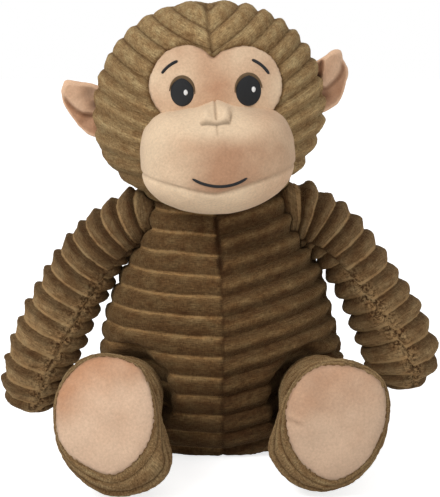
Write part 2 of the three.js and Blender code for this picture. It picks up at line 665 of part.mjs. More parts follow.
function buildMouth() {
  const z = muzzleCentre.z - MOUTH_DROP;
  const half = MOUTH_WIDTH / 2;
  const smile = stroke([
    new THREE.Vector2(-half, z + MOUTH_SAG / 2), new THREE.Vector2(-half / 2, z - MOUTH_SAG / 3),
    new THREE.Vector2(0, z - MOUTH_SAG / 2), new THREE.Vector2(half / 2, z - MOUTH_SAG / 3),
    new THREE.Vector2(half, z + MOUTH_SAG / 2),
  ], STROKE);
  addPiece('mouth', onSkin(smile, muzzleEgg, SEAM_GAP, muzzleCentre), 'thread');
}

// Ears: padded leaves with a hollow and a folded lobe, seated on the side of the head

function earLeaf(side, lift, turn) {
  const reach = EAR_REACH;
  const half = EAR_HEIGHT / 2;
  const rim = 0.35 * EAR_THICKNESS;
  const shape = new THREE.Shape();
  const outline = [[-0.6, 0.55], [0.1, 0.95], [0.75, 0.95], [1, 0.45], [0.82, -0.1], [0.45, -0.7],
    [0, -0.98], [-0.5, -0.8]].map(([x, z]) => new THREE.Vector2(x * (reach - rim), z * (half - rim)));
  shape.setFromPoints(new THREE.SplineCurve([...outline, outline[0]]).getSpacedPoints(12).slice(0, -1));
  const leaf = new THREE.ExtrudeGeometry(shape, {
    depth: EAR_THICKNESS - 2 * rim, bevelSize: rim, bevelThickness: rim, bevelSegments: 2, curveSegments: 1,
  });
  leaf.translate(0, 0, -(EAR_THICKNESS - 2 * rim) / 2).rotateX(Math.PI / 2);
  const hollow = egg(vector(0.35 * reach, -0.75 * EAR_THICKNESS, 0),
    vector(1.1 * reach, 1.2 * EAR_THICKNESS, 1.25 * half), 0, 6, 10, 0, false);
  const lobe = egg(vector(0.42 * reach, -0.1 * EAR_THICKNESS, 0.22 * half),
    vector(0.75 * reach, 0.7 * EAR_THICKNESS, 0.8 * half), 0, 6, 8, 0, false);
  const centreZ = headCentre.z + lift;
  const rise = THREE.MathUtils.clamp(lift / (HEAD_HEIGHT / 2), -1, 1);
  const seatX = (HEAD_WIDTH / 2) * Math.sqrt(1 - rise * rise);
  const leafSolid = solid(leaf).subtract(hollow).add(lobe.intersect(halfSpace(vector(0, 0, 0), vector(0, -1, 0))));
  const parts = splitAt(leafSolid, vector(0, 0, 0), vector(0, -1, 0));
  return parts.map((part) => part
    .rotate([0, 0, turn])
    .scale([side, 1, 1])
    .translate([headCentre.x + side * seatX, headCentre.y, centreZ])
    .subtract(headRibbed(-side * CROWN_SLANT, -SEAM_GAP)));
}

function buildEar(side, lift, turn, label) {
  const [front, back] = earLeaf(side, lift, turn);
  addPiece(`ear_front_${label}`, front, 'shortPile');
  addPiece(`ear_back_${label}`, back, 'shortPile');
}

buildTorso();
buildHead();
buildEye(1, 'left');
buildEye(-1, 'right');
buildMouth();
buildEar(1, EAR_LIFT_LEFT, EAR_TURN_LEFT, 'left');
buildEar(-1, EAR_LIFT_RIGHT, EAR_TURN_RIGHT, 'right');
buildArm(1, 'left');
buildArm(-1, 'right');
buildLeg(1, 'left');
buildLeg(-1, 'right');

// Stands the toy with the middle of its footprint at the origin.
const reachBox = new THREE.Box3().setFromObject(toy);
const footprint = reachBox.getCenter(new THREE.Vector3());
toy.position.set(-footprint.x, -footprint.y, 0);

export default toy;
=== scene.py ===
# Microwavable plush monkey, seated. Metres, +Z up, the toy faces -Y, and its own left is at +X.

import json
import math

import bmesh
import bpy
import numpy as np
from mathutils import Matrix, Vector, noise
from mathutils.bvhtree import BVHTree

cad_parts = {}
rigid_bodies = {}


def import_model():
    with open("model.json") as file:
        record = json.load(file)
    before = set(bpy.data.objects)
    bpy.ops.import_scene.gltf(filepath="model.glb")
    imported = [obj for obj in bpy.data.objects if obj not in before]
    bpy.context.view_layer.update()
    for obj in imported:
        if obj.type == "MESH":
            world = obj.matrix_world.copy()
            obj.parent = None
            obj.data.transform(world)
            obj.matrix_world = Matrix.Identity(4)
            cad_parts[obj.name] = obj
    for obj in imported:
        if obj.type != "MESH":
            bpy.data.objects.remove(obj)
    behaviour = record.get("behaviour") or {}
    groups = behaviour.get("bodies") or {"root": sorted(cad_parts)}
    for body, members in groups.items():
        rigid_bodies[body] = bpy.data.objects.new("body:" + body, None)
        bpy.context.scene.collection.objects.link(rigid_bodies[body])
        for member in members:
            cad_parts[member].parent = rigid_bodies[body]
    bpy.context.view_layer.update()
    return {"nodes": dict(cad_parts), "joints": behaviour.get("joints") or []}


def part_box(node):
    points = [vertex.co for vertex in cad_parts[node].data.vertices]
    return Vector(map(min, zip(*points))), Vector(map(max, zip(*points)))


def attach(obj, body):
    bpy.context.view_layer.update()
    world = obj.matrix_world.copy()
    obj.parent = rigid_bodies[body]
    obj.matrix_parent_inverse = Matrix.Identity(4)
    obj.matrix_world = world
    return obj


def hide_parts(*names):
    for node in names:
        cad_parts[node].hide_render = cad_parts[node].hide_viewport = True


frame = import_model()
MM = 0.001

# Camera and room
# The toy sits on a white sweep, seen from a little above by a long lens, under soft light
# that comes mostly from the upper left.

PIXEL = 0.667 * MM
CAMERA_DISTANCE = 1.5
CAMERA_ELEVATION = math.radians(9)
CAMERA_TARGET = Vector((0.07 * MM, 53.2 * MM, 130 * MM))
IMAGE_WIDTH = 440
SENSOR = 36.0
SWEEP_SIZE = 6
SWEEP_GLOW = 0.75
ROOM_LIGHT = 0.55

camera_data = bpy.data.cameras.new("camera")
camera_data.sensor_width = SENSOR
camera_data.sensor_fit = "HORIZONTAL"
camera_data.lens = SENSOR * CAMERA_DISTANCE / (IMAGE_WIDTH * PIXEL)
camera = bpy.data.objects.new("camera", camera_data)
bpy.context.collection.objects.link(camera)
view_back = Vector((0, -math.cos(CAMERA_ELEVATION), math.sin(CAMERA_ELEVATION)))
camera.location = CAMERA_TARGET + CAMERA_DISTANCE * view_back
camera.rotation_euler = (math.pi / 2 - CAMERA_ELEVATION, 0, 0)
scene = bpy.context.scene
scene.camera = camera
scene.view_settings.view_transform = "Standard"


class Value:
    """A socket of a shader that takes part in sums as a number does."""

    def __init__(self, tree, socket):
        self.tree, self.socket = tree, socket

    def node(self, kind, settings=None, **inputs):
        """Adds a node with its settings, and with values or links on the named sockets."""
        new = self.tree.nodes.new(kind)
        for key, value in (settings or {}).items():
            setattr(new, key, value)
        for key, value in inputs.items():
            name = key.replace("_", " ")
            place = new.inputs[int(key[1:])] if key[0] == "i" and key[1:].isdigit() else new.inputs[name]
            if isinstance(value, Value):
                self.tree.links.new(value.socket, place)
            else:
                place.default_value = value
        return new

    def out(self, kind, output, settings=None, **inputs):
        return Value(self.tree, self.node(kind, settings, **inputs).outputs[output])

    def maths(self, operation, *others):
        inputs = {f"i{index}": item for index, item in enumerate((self, *others))}
        return self.out("ShaderNodeMath", 0, {"operation": operation}, **inputs)

    def __add__(self, other):
        return self.maths("ADD", other)

    def __sub__(self, other):
        return self.maths("SUBTRACT", other)

    def __mul__(self, other):
        return self.maths("MULTIPLY", other)

    __radd__, __rmul__ = __add__, __mul__

    def ramp(self, stops):
        """Reads a number off a curve of (place, value) stops."""
        node = self.node("ShaderNodeValToRGB", Fac=self)
        points = node.color_ramp.elements
        while len(points) < len(stops):
            points.new(1)
        for point, (place, value) in zip(points, stops):
            point.position = place
            point.color = (value, value, value, 1)
        return Value(self.tree, node.outputs["Color"])

    def blend(self, first, second):
        """Mixes two colours by this number."""
        return self.out("ShaderNodeMix", "Result", {"data_type": "RGBA"}, Factor=self, i6=first, i7=second)

    def kept(self, name):
        """A number that the mesh stores a point for."""
        return self.out("ShaderNodeAttribute", "Fac", {"attribute_name": name})

    def noise(self, place, scale, detail=3.0, roughness=0.6):
        inputs = {"Vector": place, "Scale": scale, "Detail": detail, "Roughness": roughness}
        return self.out("ShaderNodeTexNoise", "Fac", **inputs)

    def swing(self, amount):
        """A factor about 1, which this noise swings by the amount."""
        return self * amount + (1 - amount / 2)

    def drives(self, socket):
        self.tree.links.new(self.socket, socket)


def tint(hexcode):
    """A colour as written on a screen, made linear."""
    parts = [int(hexcode[place : place + 2], 16) / 255 for place in (1, 3, 5)]
    return np.array([part / 12.92 if part <= 0.04045 else ((part + 0.055) / 1.055) ** 2.4 for part in parts])


def new_material(name, roughness=0.9):
    """A node material: returns it, a Value to start sums from, and its Principled shader."""
    material = bpy.data.materials.new(name)
    material.use_nodes = True
    shader = material.node_tree.nodes["Principled BSDF"]
    shader.inputs["Roughness"].default_value = roughness
    return material, Value(material.node_tree, shader.outputs[0]), shader


sweep_material, maths, shader = new_material("white_sweep")
shader.inputs["Base Color"].default_value = (0.8, 0.8, 0.8, 1)
shader.inputs["Emission Color"].default_value = (1, 1, 1, 1)
seen = maths.out("ShaderNodeLightPath", "Is Camera Ray")
(seen * SWEEP_GLOW).drives(shader.inputs["Emission Strength"])

bpy.ops.object.select_all(action="DESELECT")
bpy.ops.mesh.primitive_plane_add(size=SWEEP_SIZE)
floor = bpy.context.object
floor.name = "floor"
floor.data.materials.append(sweep_material)

world = bpy.data.worlds.new("room")
scene.world = world
world.use_nodes = True
sky = world.node_tree.nodes["Background"]
sky.inputs["Color"].default_value = (1, 1, 1, 1)
air = Value(world.node_tree, sky.outputs[0])
seen = air.out("ShaderNodeLightPath", "Is Camera Ray")
(seen * (1 - ROOM_LIGHT) + ROOM_LIGHT).drives(sky.inputs["Strength"])


def soft_light(name, place, size, power):
    lamp = bpy.data.lights.new(name, "AREA")
    lamp.size = size
    lamp.energy = power
    lamp_object = bpy.data.objects.new(name, lamp)
    lamp_object.location = place
    lamp_object.rotation_euler = (CAMERA_TARGET - Vector(place)).to_track_quat("-Z", "Y").to_euler()
    bpy.context.collection.objects.link(lamp_object)


soft_light("key", place=(-0.9, -1.1, 1.3), size=0.7, power=16)
soft_light("fill", place=(1.2, -1.3, 0.3), size=1.0, power=4.5)

# Torso cover
# Four panels of wide-rib brown plush, sewn down the front, the sides and the back, and
# stuffed. Each belly panel is cut on its own slant, so its ribs climb sideways.

RIB_DEPTH = 3.2 * MM
RIB_CREST = 0.32
FIRST_RIB = 40
BELLY_PITCH = 12.9 * MM
BELLY_RIB_TOP = 158.2 * MM
BELLY_SLOPE_LEFT = 0.26
BELLY_SLOPE_RIGHT = 0.03
TORSO_RADIUS = 70 * MM
FRONT_SEAM = [(90, 2.2), (125, 0.5), (160, -3.4)]
SEAM_WIDTH = 1.4 * MM
SEAM_DEPTH = 1.3 * MM
CLOSING_SLITS = [(152, 3), (141, 4.5), (128, 3.5)]
SLIT_DEPTH = 2 * MM
TORSO_BULGES = [(-1, 92, 24, 3.3), (1, 118, 14, 1.5), (-1, 163, 10, 6), (1, 164, 9, 4.5)]
FLOOR_GAP = 0.2 * MM
STUFFING_PRESSURE = 4
PUFF_FRAMES = 14
FINE_LEVELS = 2


def new_piece(name, shape):
    """Makes an object of a worked-out shape."""
    mesh = bpy.data.meshes.new(name)
    shape.to_mesh(mesh)
    shape.free()
    piece = bpy.data.objects.new(name, mesh)
    bpy.context.collection.objects.link(piece)
    return piece


def gathered(name, *nodes):
    """One new object from merged copies of CAD nodes."""
    shape = bmesh.new()
    for node in nodes:
        shape.from_mesh(frame["nodes"][node].data)
    bmesh.ops.remove_doubles(shape, verts=shape.verts, dist=1e-6)
    return new_piece(name, shape)


def made_fast(piece, modifier):
    """Applies a modifier of a piece."""
    bpy.ops.object.select_all(action="DESELECT")
    piece.select_set(True)
    bpy.context.view_layer.objects.active = piece
    bpy.ops.object.modifier_apply(modifier=modifier.name)


def applied(piece, kind, **settings):
    """Adds a modifier, sets it, and applies it."""
    modifier = piece.modifiers.new(kind.title(), kind)
    for key, value in settings.items():
        setattr(modifier, key, value)
    made_fast(piece, modifier)


def refined(piece):
    """Divides a skin finely and rounds it."""
    applied(piece, "SUBSURF", levels=FINE_LEVELS, render_levels=FINE_LEVELS)
    piece.data.shade_smooth()


def outer_skin(piece):
    """Drops the closed pockets inside a remeshed form."""
    shape = bmesh.new()
    shape.from_mesh(piece.data)
    start = max(shape.verts, key=lambda vert: vert.co.z)
    skin, front = {start}, [start]
    while front:
        for edge in front.pop().link_edges:
            for vert in edge.verts:
                if vert not in skin:
                    skin.add(vert)
                    front.append(vert)
    bmesh.ops.delete(shape, geom=[vert for vert in shape.verts if vert not in skin], context="VERTS")
    shape.to_mesh(piece.data)
    shape.free()


def read_points(piece, kind="co"):
    flat = np.empty(len(piece.data.vertices) * 3)
    piece.data.vertices.foreach_get(kind, flat)
    return flat.reshape(-1, 3)


def move_points(piece, points):
    piece.data.vertices.foreach_set("co", np.ascontiguousarray(points).ravel())
    piece.data.update()


def puffed(piece, cap):
    """Lets the stuffing press the cover out as cloth, by no more than the cap, and tells how far it went."""
    before, normals = read_points(piece), read_points(piece, "normal")
    cloth = piece.modifiers.new("Cloth", "CLOTH")
    cloth.settings.use_pressure = True
    cloth.settings.uniform_pressure_force = STUFFING_PRESSURE
    cloth.settings.effector_weights.gravity = 0
    for number in range(1, PUFF_FRAMES + 1):
        scene.frame_set(number)
    made_fast(piece, cloth)
    scene.frame_set(1)
    moved = read_points(piece) - before
    length = np.linalg.norm(moved, axis=1, keepdims=True)
    moved = moved * np.minimum(1, cap / np.maximum(length, 1e-9))
    move_points(piece, before + moved)
    return (moved * normals).sum(axis=1).mean()


def stuffed(name, nodes, voxel=4 * MM, rounds=8, cap=2 * MM, swell=2.3 * MM):
    """A cover pulled over its stuffing: one closed, fine skin that stands out by the swell."""
    piece = gathered(name, *nodes)
    applied(piece, "REMESH", mode="VOXEL", voxel_size=voxel)
    outer_skin(piece)
    applied(piece, "SMOOTH", factor=0.5, iterations=rounds)
    gone = puffed(piece, cap)
    refined(piece)
    move_points(piece, read_points(piece) + read_points(piece, "normal") * (swell - gone))
    return piece


def keep_numbers(piece, **numbers):
    """Stores numbers a point for the piece's material."""
    for name, values in numbers.items():
        layer = piece.data.attributes.new(name, "FLOAT", "POINT")
        layer.data.foreach_set("value", np.broadcast_to(values, len(piece.data.vertices)).astype(np.float32))


def rib_height(wale, crest=RIB_CREST, upper=2.2, lower=2.2):
    """Height of a rib by place across it: a steep upper side and a long lower one."""
    place = wale - np.floor(wale)
    above = np.maximum(1 - place / crest, 0) ** upper
    below = np.maximum((place - crest) / (1 - crest), 0) ** lower
    return 1 - above - below


def rough(points, size, seed):
    """Smooth noise from -1 to 1, one value a point."""
    shift = Vector((seed * 7.3, seed * 3.1, seed * 5.7))
    return np.array([noise.noise(Vector(point) / size + shift) for point in points])


def tousled(points, seeds, coarse=0.4 * MM, fine=0.35 * MM, tuft=2 * MM):
    """The uneven depth of the pile: a coarse unrest and finer tufts."""
    return coarse * rough(points, 6 * MM, seeds[0]) + fine * rough(points, tuft, seeds[1])


def carve(piece, points, normals, depth):
    """Sinks a skin by a depth a point, and keeps it above the floor."""
    carved = points - normals * depth[:, None]
    carved[:, 2] = np.maximum(carved[:, 2], FLOOR_GAP)
    move_points(piece, carved)


def hill(distance, width):
    """A smooth hump that is 1 at no distance and fades over the width."""
    return np.exp(-((distance / width) ** 2))


def step(value, start, end):
    """Climbs smoothly from 0 at the start to 1 at the end."""
    share = np.clip((value - start) / (end - start), 0, 1)
    return share * share * (3 - 2 * share)


def skin_tree(*pieces):
    """A search tree over the present surfaces of pieces."""
    points, faces = [], []
    for piece in pieces:
        first = len(points)
        points.extend(vert.co.copy() for vert in piece.data.vertices)
        faces.extend([first + index for index in face.vertices] for face in piece.data.polygons)
    return BVHTree.FromPolygons(points, faces)


def press_clear(piece, tree, gap=0.5 * MM, reach=9 * MM):
    """Presses a cover in where it would enter another piece, down to a small gap."""
    points = read_points(piece)
    for index, point in enumerate(points):
        place, normal, *_ = tree.find_nearest(point, reach)
        if place is not None and (Vector(point) - place).dot(normal) < gap:
            points[index] = place + normal * gap
    move_points(piece, points)


def slits(x, z, wide, longer=1.0):
    """The hand-closed slits down the front seam: 1 in the middle of each."""
    return sum(hill(x, wide) * hill(z - middle * MM, longer * half * MM) for middle, half in CLOSING_SLITS)


def scaled_colour(shader, colour, tone):
    """Gives a surface a colour that a tone makes lighter and darker."""
    scaled = tone.out("ShaderNodeVectorMath", "Vector", {"operation": "SCALE"}, i0=colour, Scale=tone)
    scaled.drives(shader.inputs["Base Color"])


def bumped(shader, height, strength, distance):
    bump = height.out("ShaderNodeBump", "Normal", Strength=strength, Distance=distance, Height=height)
    bump.drives(shader.inputs["Normal"])


def pile_sheen(shader, weight, colour):
    """The soft rim of light on standing pile."""
    shader.inputs["Sheen Weight"].default_value = weight
    shader.inputs["Sheen Roughness"].default_value = 0.4
    shader.inputs["Sheen Tint"].default_value = (*tint(colour), 1)
    shader.inputs["Specular IOR Level"].default_value = 0.15


# Curves of painted light and shade across a rib, from one groove to the next. RIB_LINED paints a wide bright
# highlight over each groove, RIB_LIT a thin highlight just before the groove and painted shade just after it,
# RIB_ROLL paints shade into the groove, and RIB_SOFT and RIB_FAINT paint a soft band of highlight between
# bands of shade.
RIB_LINED = [(0, 2.4), (0.04, 1.9), (0.1, 1.35), (0.25, 1.02), (0.55, 1.0), (0.82, 0.85), (0.87, 1.3),
             (0.92, 3.1), (1, 3.1)]
RIB_LIT = [(0, 0.6), (0.06, 0.42), (0.25, 0.48), (0.45, 0.9), (0.65, 1.1), (0.82, 1.25), (0.88, 2.6),
           (0.95, 2.6), (1, 0.8)]
RIB_SOFT = [(0, 0.72), (0.12, 0.66), (0.3, 1.0), (0.43, 1.45), (0.5, 1.45), (0.62, 1.05), (0.75, 0.6),
            (1, 0.66)]
RIB_ROLL = [(0, 0.3), (0.05, 0.7), (0.2, 1.1), (0.45, 1.2), (0.7, 1.05), (0.9, 0.9), (0.96, 0.6),
            (1, 0.3)]
RIB_FAINT = [(0, 0.85), (0.12, 0.85), (0.3, 1.0), (0.4, 1.4), (0.48, 1.4), (0.6, 1.05), (0.8, 0.85),
             (1, 0.85)]


def plush(name, colour, ribs, soft_ribs=RIB_SOFT, streaks=2.2, ticks=1.1):
    """Wide-rib plush: each rib gets painted light and shade across it by a curve, with streaks and ticks of
    the nap along it.

    Where the point number "nap" is 1 the pile lies the other way, so its lines are soft and it is dull. The
    point number "shadow" scales the tone by painted light and shade.
    Where "fuzz" is 1 a seam has pulled pale tufts out of the pile."""
    material, maths, shader = new_material(name)
    wale, nap, run = maths.kept("wale"), maths.kept("nap"), maths.kept("run")
    place = wale.maths("FRACT")
    lit, soft = place.ramp(ribs), place.ramp(soft_ribs)
    where = maths.out("ShaderNodeTexCoord", "Object")

    def nap_noise(across, lengthwise, *pattern):
        """Noise that is drawn out along the ribs."""
        place = maths.out("ShaderNodeCombineXYZ", "Vector", X=wale * across, Y=run * lengthwise)
        return maths.noise(place, *pattern)

    streak = nap_noise(13.5, 140, 1.3, 3.0, 0.65)
    tick = nap_noise(5, 1000, 1.1, 2.0, 0.6)
    blotch = nap_noise(2.2, 75, 1.0, 2.0, 0.5)
    patch = maths.noise(where, 30.0)
    fleck = maths.noise(where, 700.0, 3.0, 0.7)
    tuft = maths.noise(where, 480.0, 2.0, 0.7).ramp([(0.4, 0), (0.6, 1)]) * 2.4 - 0.45
    shade = (lit + (soft - lit) * nap) * maths.kept("shadow")
    tone = shade * streak.swing(streaks) * tick.swing(ticks) * blotch.swing(1.5)
    tone = tone * patch.swing(0.6) * fleck.swing(1.1) + tuft * maths.kept("fuzz")
    deep, pale = colour * (0.36, 0.3, 0.24), colour * (2.9, 3.4, 3.7)
    mixed = ((tone - 0.3) * (1 / 3.0)).blend((*deep, 1), (*pale, 1))
    warm = blotch.ramp([(0.3, 0), (0.7, 1)]).blend((1.08, 0.98, 0.9, 1), (0.95, 1.01, 1.05, 1))
    mixed = maths.out("ShaderNodeVectorMath", "Vector", {"operation": "MULTIPLY"}, i0=mixed, i1=warm)
    mixed.drives(shader.inputs["Base Color"])
    pile_sheen(shader, 0.4, "#c8a878")
    bumped(shader, streak + fleck + tick * 0.6, strength=0.8, distance=1.2 * MM)
    return material


BODY_X, BODY_Y = frame["joints"][0]["pos_m"][:2]

torso = stuffed("torso_cover", [
    "belly_panel_left", "belly_panel_right", "back_panel_left", "back_panel_right",
    "torso_fibre_front", "torso_fibre_back", "grain_pouch_front", "grain_pouch_back", "grain_fill",
])
points = read_points(torso)
for side, bulge_z, extent, size in TORSO_BULGES:
    flank = step(side * (points[:, 0] - BODY_X), 25 * MM, 60 * MM)
    points[:, 0] += side * size * MM * hill(points[:, 2] - bulge_z * MM, extent * MM) * flank
move_points(torso, points)
points, normals = read_points(torso), read_points(torso, "normal")
heights, seam_places = np.array(FRONT_SEAM).T * MM
seam_x = np.where(points[:, 1] < BODY_Y, np.interp(points[:, 2], heights, seam_places), BODY_X)
x, y, z = points[:, 0] - seam_x, points[:, 1] - BODY_Y, points[:, 2]
front = step(-y, -6 * MM, 6 * MM)
slope = front * np.where(x > 0, BELLY_SLOPE_LEFT, BELLY_SLOPE_RIGHT)
wale = -(z - BELLY_RIB_TOP - slope * np.abs(x)) / BELLY_PITCH + FIRST_RIB
seam = hill(np.minimum(np.abs(x), np.abs(y)), SEAM_WIDTH)
side_edge = step(x, 38 * MM, 58 * MM) * front
ribs = rib_height(wale, RIB_CREST, 2.2, 2.2 - 0.8 * side_edge)
depth = RIB_DEPTH * (1 + 0.8 * side_edge) * (1 - ribs) * (1 - 0.4 * seam)
depth = depth + SEAM_DEPTH * seam + SLIT_DEPTH * slits(x, z, 1.3 * MM) * front - 1.5 * MM * side_edge
carve(torso, points, normals, depth + tousled(points, (1, 11)))
run = np.arctan2(x, -y) * TORSO_RADIUS
nap = step(x, -1 * MM, 1 * MM) * front
# Painted shade in the seam grooves and the closing slits, and on the lower belly, which is darker towards the
# floor.
slit_shade = slits(x, z, 1.7 * MM, 1.2) * front
shadow = (1 - 0.4 * seam) * (1 - 0.97 * np.clip(1.6 * slit_shade, 0, 1))
shadow = shadow * (0.72 + 0.28 * step(z, 15 * MM, 75 * MM))
wale = wale + 0.05 * rough(points, 22 * MM, 12)
keep_numbers(torso, wale=wale, run=run, nap=nap, shadow=shadow, fuzz=0)
torso.data.materials.append(plush("plush_body", tint("#664a2d"), RIB_LINED))
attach(torso, "torso")
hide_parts("belly_panel_left", "belly_panel_right", "back_panel_left", "back_panel_right")
torso_tree = skin_tree(torso)

# Arms
# Each arm is an outer and an inner panel of the same plush, sewn along its front and back.
# The ribs ring the arm, and those of the inner panel meet the outer ones half a rib out.

ARM_PATHS = {
    "right": [(3, 0, 3), (19, 2, -5), (35, 3, -17), (47, 4, -33), (59, 6, -53), (69, 8, -74),
              (77, 10, -92), (81, 10, -106), (82, 10, -127)],
    "left": [(3, 0, 3), (15, 0, 1), (28, 1, -7), (42, 1, -22), (56, 1, -44), (69, 1, -68),
             (77, 0, -90), (79, 0, -114)],
}
ARM_SEAM_TURNS = {"right": (50, 15), "left": (45, -25)}
ARM_CRESTS = {
    "right": [7, 17, 27, 37, 47, 59, 70, 82, 94, 106, 118, 130, 141, 151],
    "left": [1, 9, 18, 26, 37, 48, 61, 74, 86, 99, 111, 125, 136, 147],
}
ARM_RIB_PITCH = 11.7 * MM
ARM_FIRST_RIB = 20
ARM_RIB_SAG = {"right": 5 * MM, "left": 1 * MM}
ARM_CREST = {"right": 0.24, "left": 0.55}
ARM_LENGTH = 150 * MM
ARM_SEAM_WIDTH = 1.5 * MM
ARM_SEAM_DEPTH = 1.2 * MM
TUFT_WIDTH = 7.5 * MM
ARM_FULLER = {
    "right": [(-15, 5), (-5, 4), (3, 2), (12, 1), (20, 1.5), (60, 2.2), (150, 1.6)],
    "left": [(-15, 13), (-5, 13), (2, 10), (6, 4), (10, 0.5), (15, 0), (80, 0.2), (105, 1), (125, 3),
             (150, 2.5)],
}
# Painted light on each arm, as a factor at the shoulder and at the hand: the arm is made lighter towards the
# hand.
ARM_LIGHT = {"right": (1.15, 2.1), "left": (1.3, 1.65)}


def distances(line):
    """How far along a line each of its points lies."""
    return np.r_[0, np.cumsum(np.linalg.norm(np.diff(line, axis=0), axis=1))]


def headings(line):
    """The direction of a line at each of its points."""
    ahead = np.gradient(line, axis=0)
    return ahead / np.linalg.norm(ahead, axis=1, keepdims=True)


def smooth_line(points, steps, degree):
    """Evenly spaced places on a smooth line near points."""
    points = np.array(points, dtype=float)
    chord = distances(points)
    places = np.linspace(0, chord[-1], steps)
    return np.stack([np.polyval(np.polyfit(chord, column, degree), places) for column in points.T], axis=1)


def along(points, line):
    """Each point's distance along a line, its offset square to the line, and the line's direction there."""
    parts = np.array_split(points, 40)
    nearest = np.concatenate([((part[:, None] - line) ** 2).sum(axis=2).argmin(axis=1) for part in parts])
    ahead = headings(line)[nearest]
    offset = points - line[nearest]
    further = (offset * ahead).sum(axis=1)
    return distances(line)[nearest] + further, offset - further[:, None] * ahead, ahead


joint_at = {joint["name"]: np.array(joint["pos_m"]) for joint in frame["joints"]}
arm_plush = plush("plush_arm", tint("#6b5034"), RIB_LIT)

for label, side in (("left", 1), ("right", -1)):
    arm_nodes = [f"arm_outer_panel_{label}", f"arm_inner_panel_{label}", f"arm_fibre_{label}"]
    arm = stuffed(f"arm_cover_{label}", arm_nodes, voxel=3.5 * MM, rounds=6, swell=2.6 * MM)
    points, normals = read_points(arm), read_points(arm, "normal")
    path = np.array([(side * out, -forward, up) for out, forward, up in ARM_PATHS[label]]) * MM
    centre_line = smooth_line(path + joint_at[f"shoulder_{label}"], 160, 4)
    travelled, offset, ahead = along(points, centre_line)
    front = np.array([0, -1, 0]) + ahead * ahead[:, 1:2]
    inward = np.cross(ahead, front) * side
    turn = np.arctan2((offset * inward).sum(axis=1), (offset * front).sum(axis=1))
    first, last = np.radians(ARM_SEAM_TURNS[label])
    radius = np.linalg.norm(offset, axis=1)
    gap = (turn - first - (last - first) * np.clip(travelled / ARM_LENGTH, 0, 1)) * radius
    inner = step(gap, -0.7 * MM, 0.7 * MM)
    seam = hill(gap, ARM_SEAM_WIDTH)
    crests = np.array(ARM_CRESTS[label]) * MM
    crest = ARM_CREST[label]
    place = travelled - ARM_RIB_SAG[label] * np.maximum(np.cos(turn), 0)
    beyond = np.minimum(place - crests[0], 0) + np.maximum(place - crests[-1], 0)
    wale = np.interp(place, crests, np.arange(len(crests))) + beyond / ARM_RIB_PITCH
    wale = wale + crest + ARM_FIRST_RIB + 0.5 * inner
    fuzz = hill(gap, TUFT_WIDTH) * step(travelled, 30 * MM, 80 * MM)
    blunt = step(np.abs(turn), 1.6, 2.2) + step(gap, 2 * MM, 10 * MM)
    ribs = rib_height(wale, crest, 1.8, 1.25 + 1.2 * np.clip(blunt, 0, 1))
    depth = RIB_DEPTH * (1.2 + 0.1 * inner) * (1 - ribs) * (1 - 0.5 * seam) * (1 - 0.65 * fuzz)
    depth = depth + ARM_SEAM_DEPTH * seam
    depth = depth + tousled(points, (2, 7), fine=(0.35 + 0.2 * fuzz) * MM, tuft=2.2 * MM)
    stations, fuller = np.array(ARM_FULLER[label]).T * MM
    depth = depth - np.interp(travelled, stations, fuller) * np.maximum(-np.sin(turn), 0)
    if label == "left":
        depth = depth * (1 - 0.6 * step(travelled, 112 * MM, 128 * MM) * step(gap, 0, 6 * MM))
    tip = step(travelled, 120 * MM, 135 * MM) * step(-radius, -15 * MM, -7 * MM)
    carve(arm, points, normals, depth * (1 - 0.85 * tip))
    press_clear(arm, torso_tree)
    # Painted light that grows towards the hand, with painted shade along the seam and among the tufts.
    upper_light, hand_light = ARM_LIGHT[label]
    light = upper_light + (hand_light - upper_light) * step(travelled, 40 * MM, 120 * MM)
    light = light * (1 - 0.3 * seam * (1 - fuzz)) * (1 - 0.25 * fuzz)
    keep_numbers(arm, wale=wale, run=turn * radius, nap=0, shadow=light, fuzz=fuzz)
    arm.data.materials.append(arm_plush)
    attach(arm, f"arm_{label}")
    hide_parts(f"arm_outer_panel_{label}", f"arm_inner_panel_{label}")

# Legs and soles
# Each leg is an outer and an inner panel of plush, closed at the front by an oval sole of
# short pile that is gathered in round its edge.

SOLE_OUTLINES = {
    "right": [(-81.7, 85.8), (-72, 88.5), (-60, 87), (-50.4, 83), (-45.7, 76), (-42.1, 68.6),
              (-39.9, 56.3), (-40, 46.4), (-42.8, 36.5), (-48.3, 27.8), (-55.6, 20.8), (-62.9, 17.4),
              (-69, 17.5), (-78.6, 21.2), (-90.7, 29), (-97.4, 39), (-99.3, 51.3), (-98.7, 63.5),
              (-95, 72.3), (-88.9, 80)],
    "left": [(58.8, 82), (66, 83.4), (80.4, 81.8), (92.5, 76.9), (99, 69.5), (101, 60.9), (100, 47.4),
             (96, 37), (89.4, 25.1), (81, 17.8), (73.8, 13.9), (66.6, 13), (58.1, 16.4), (48.4, 25.1),
             (42.3, 36.2), (39.8, 47.4), (40.3, 58.4), (44.5, 69.5), (51.7, 78)],
}
FOOT_OUTLINES = {
    "right": [(-101.4, 46.8), (-99, 33), (-91.5, 20), (-81.5, 10), (-71, 4), (-61, 2.4), (-51, 3.6),
              (-41.6, 6.5), (-34.5, 11), (-29.5, 17.5), (-28, 24), (-31, 33), (-33, 42), (-35, 53),
              (-39, 65), (-44, 77), (-50, 86), (-61, 90.5), (-72, 92), (-84, 89.5), (-93, 81.5),
              (-99, 71), (-102, 58)],
    "left": [(58.4, 85), (66.8, 87), (77.8, 86.8), (87, 84), (95.5, 78.5), (101.5, 72), (104.3, 65),
             (104.6, 56.8), (102.7, 40.5), (98, 28), (90.5, 17), (80, 8.5), (67.5, 4.2), (58.9, 3.6),
             (47.5, 6.5), (38, 13.5), (32.5, 21), (29, 27.5), (28.8, 34), (31.5, 42), (34.5, 50),
             (38, 60), (42.7, 68.5), (47.5, 77), (53, 82.5)],
}
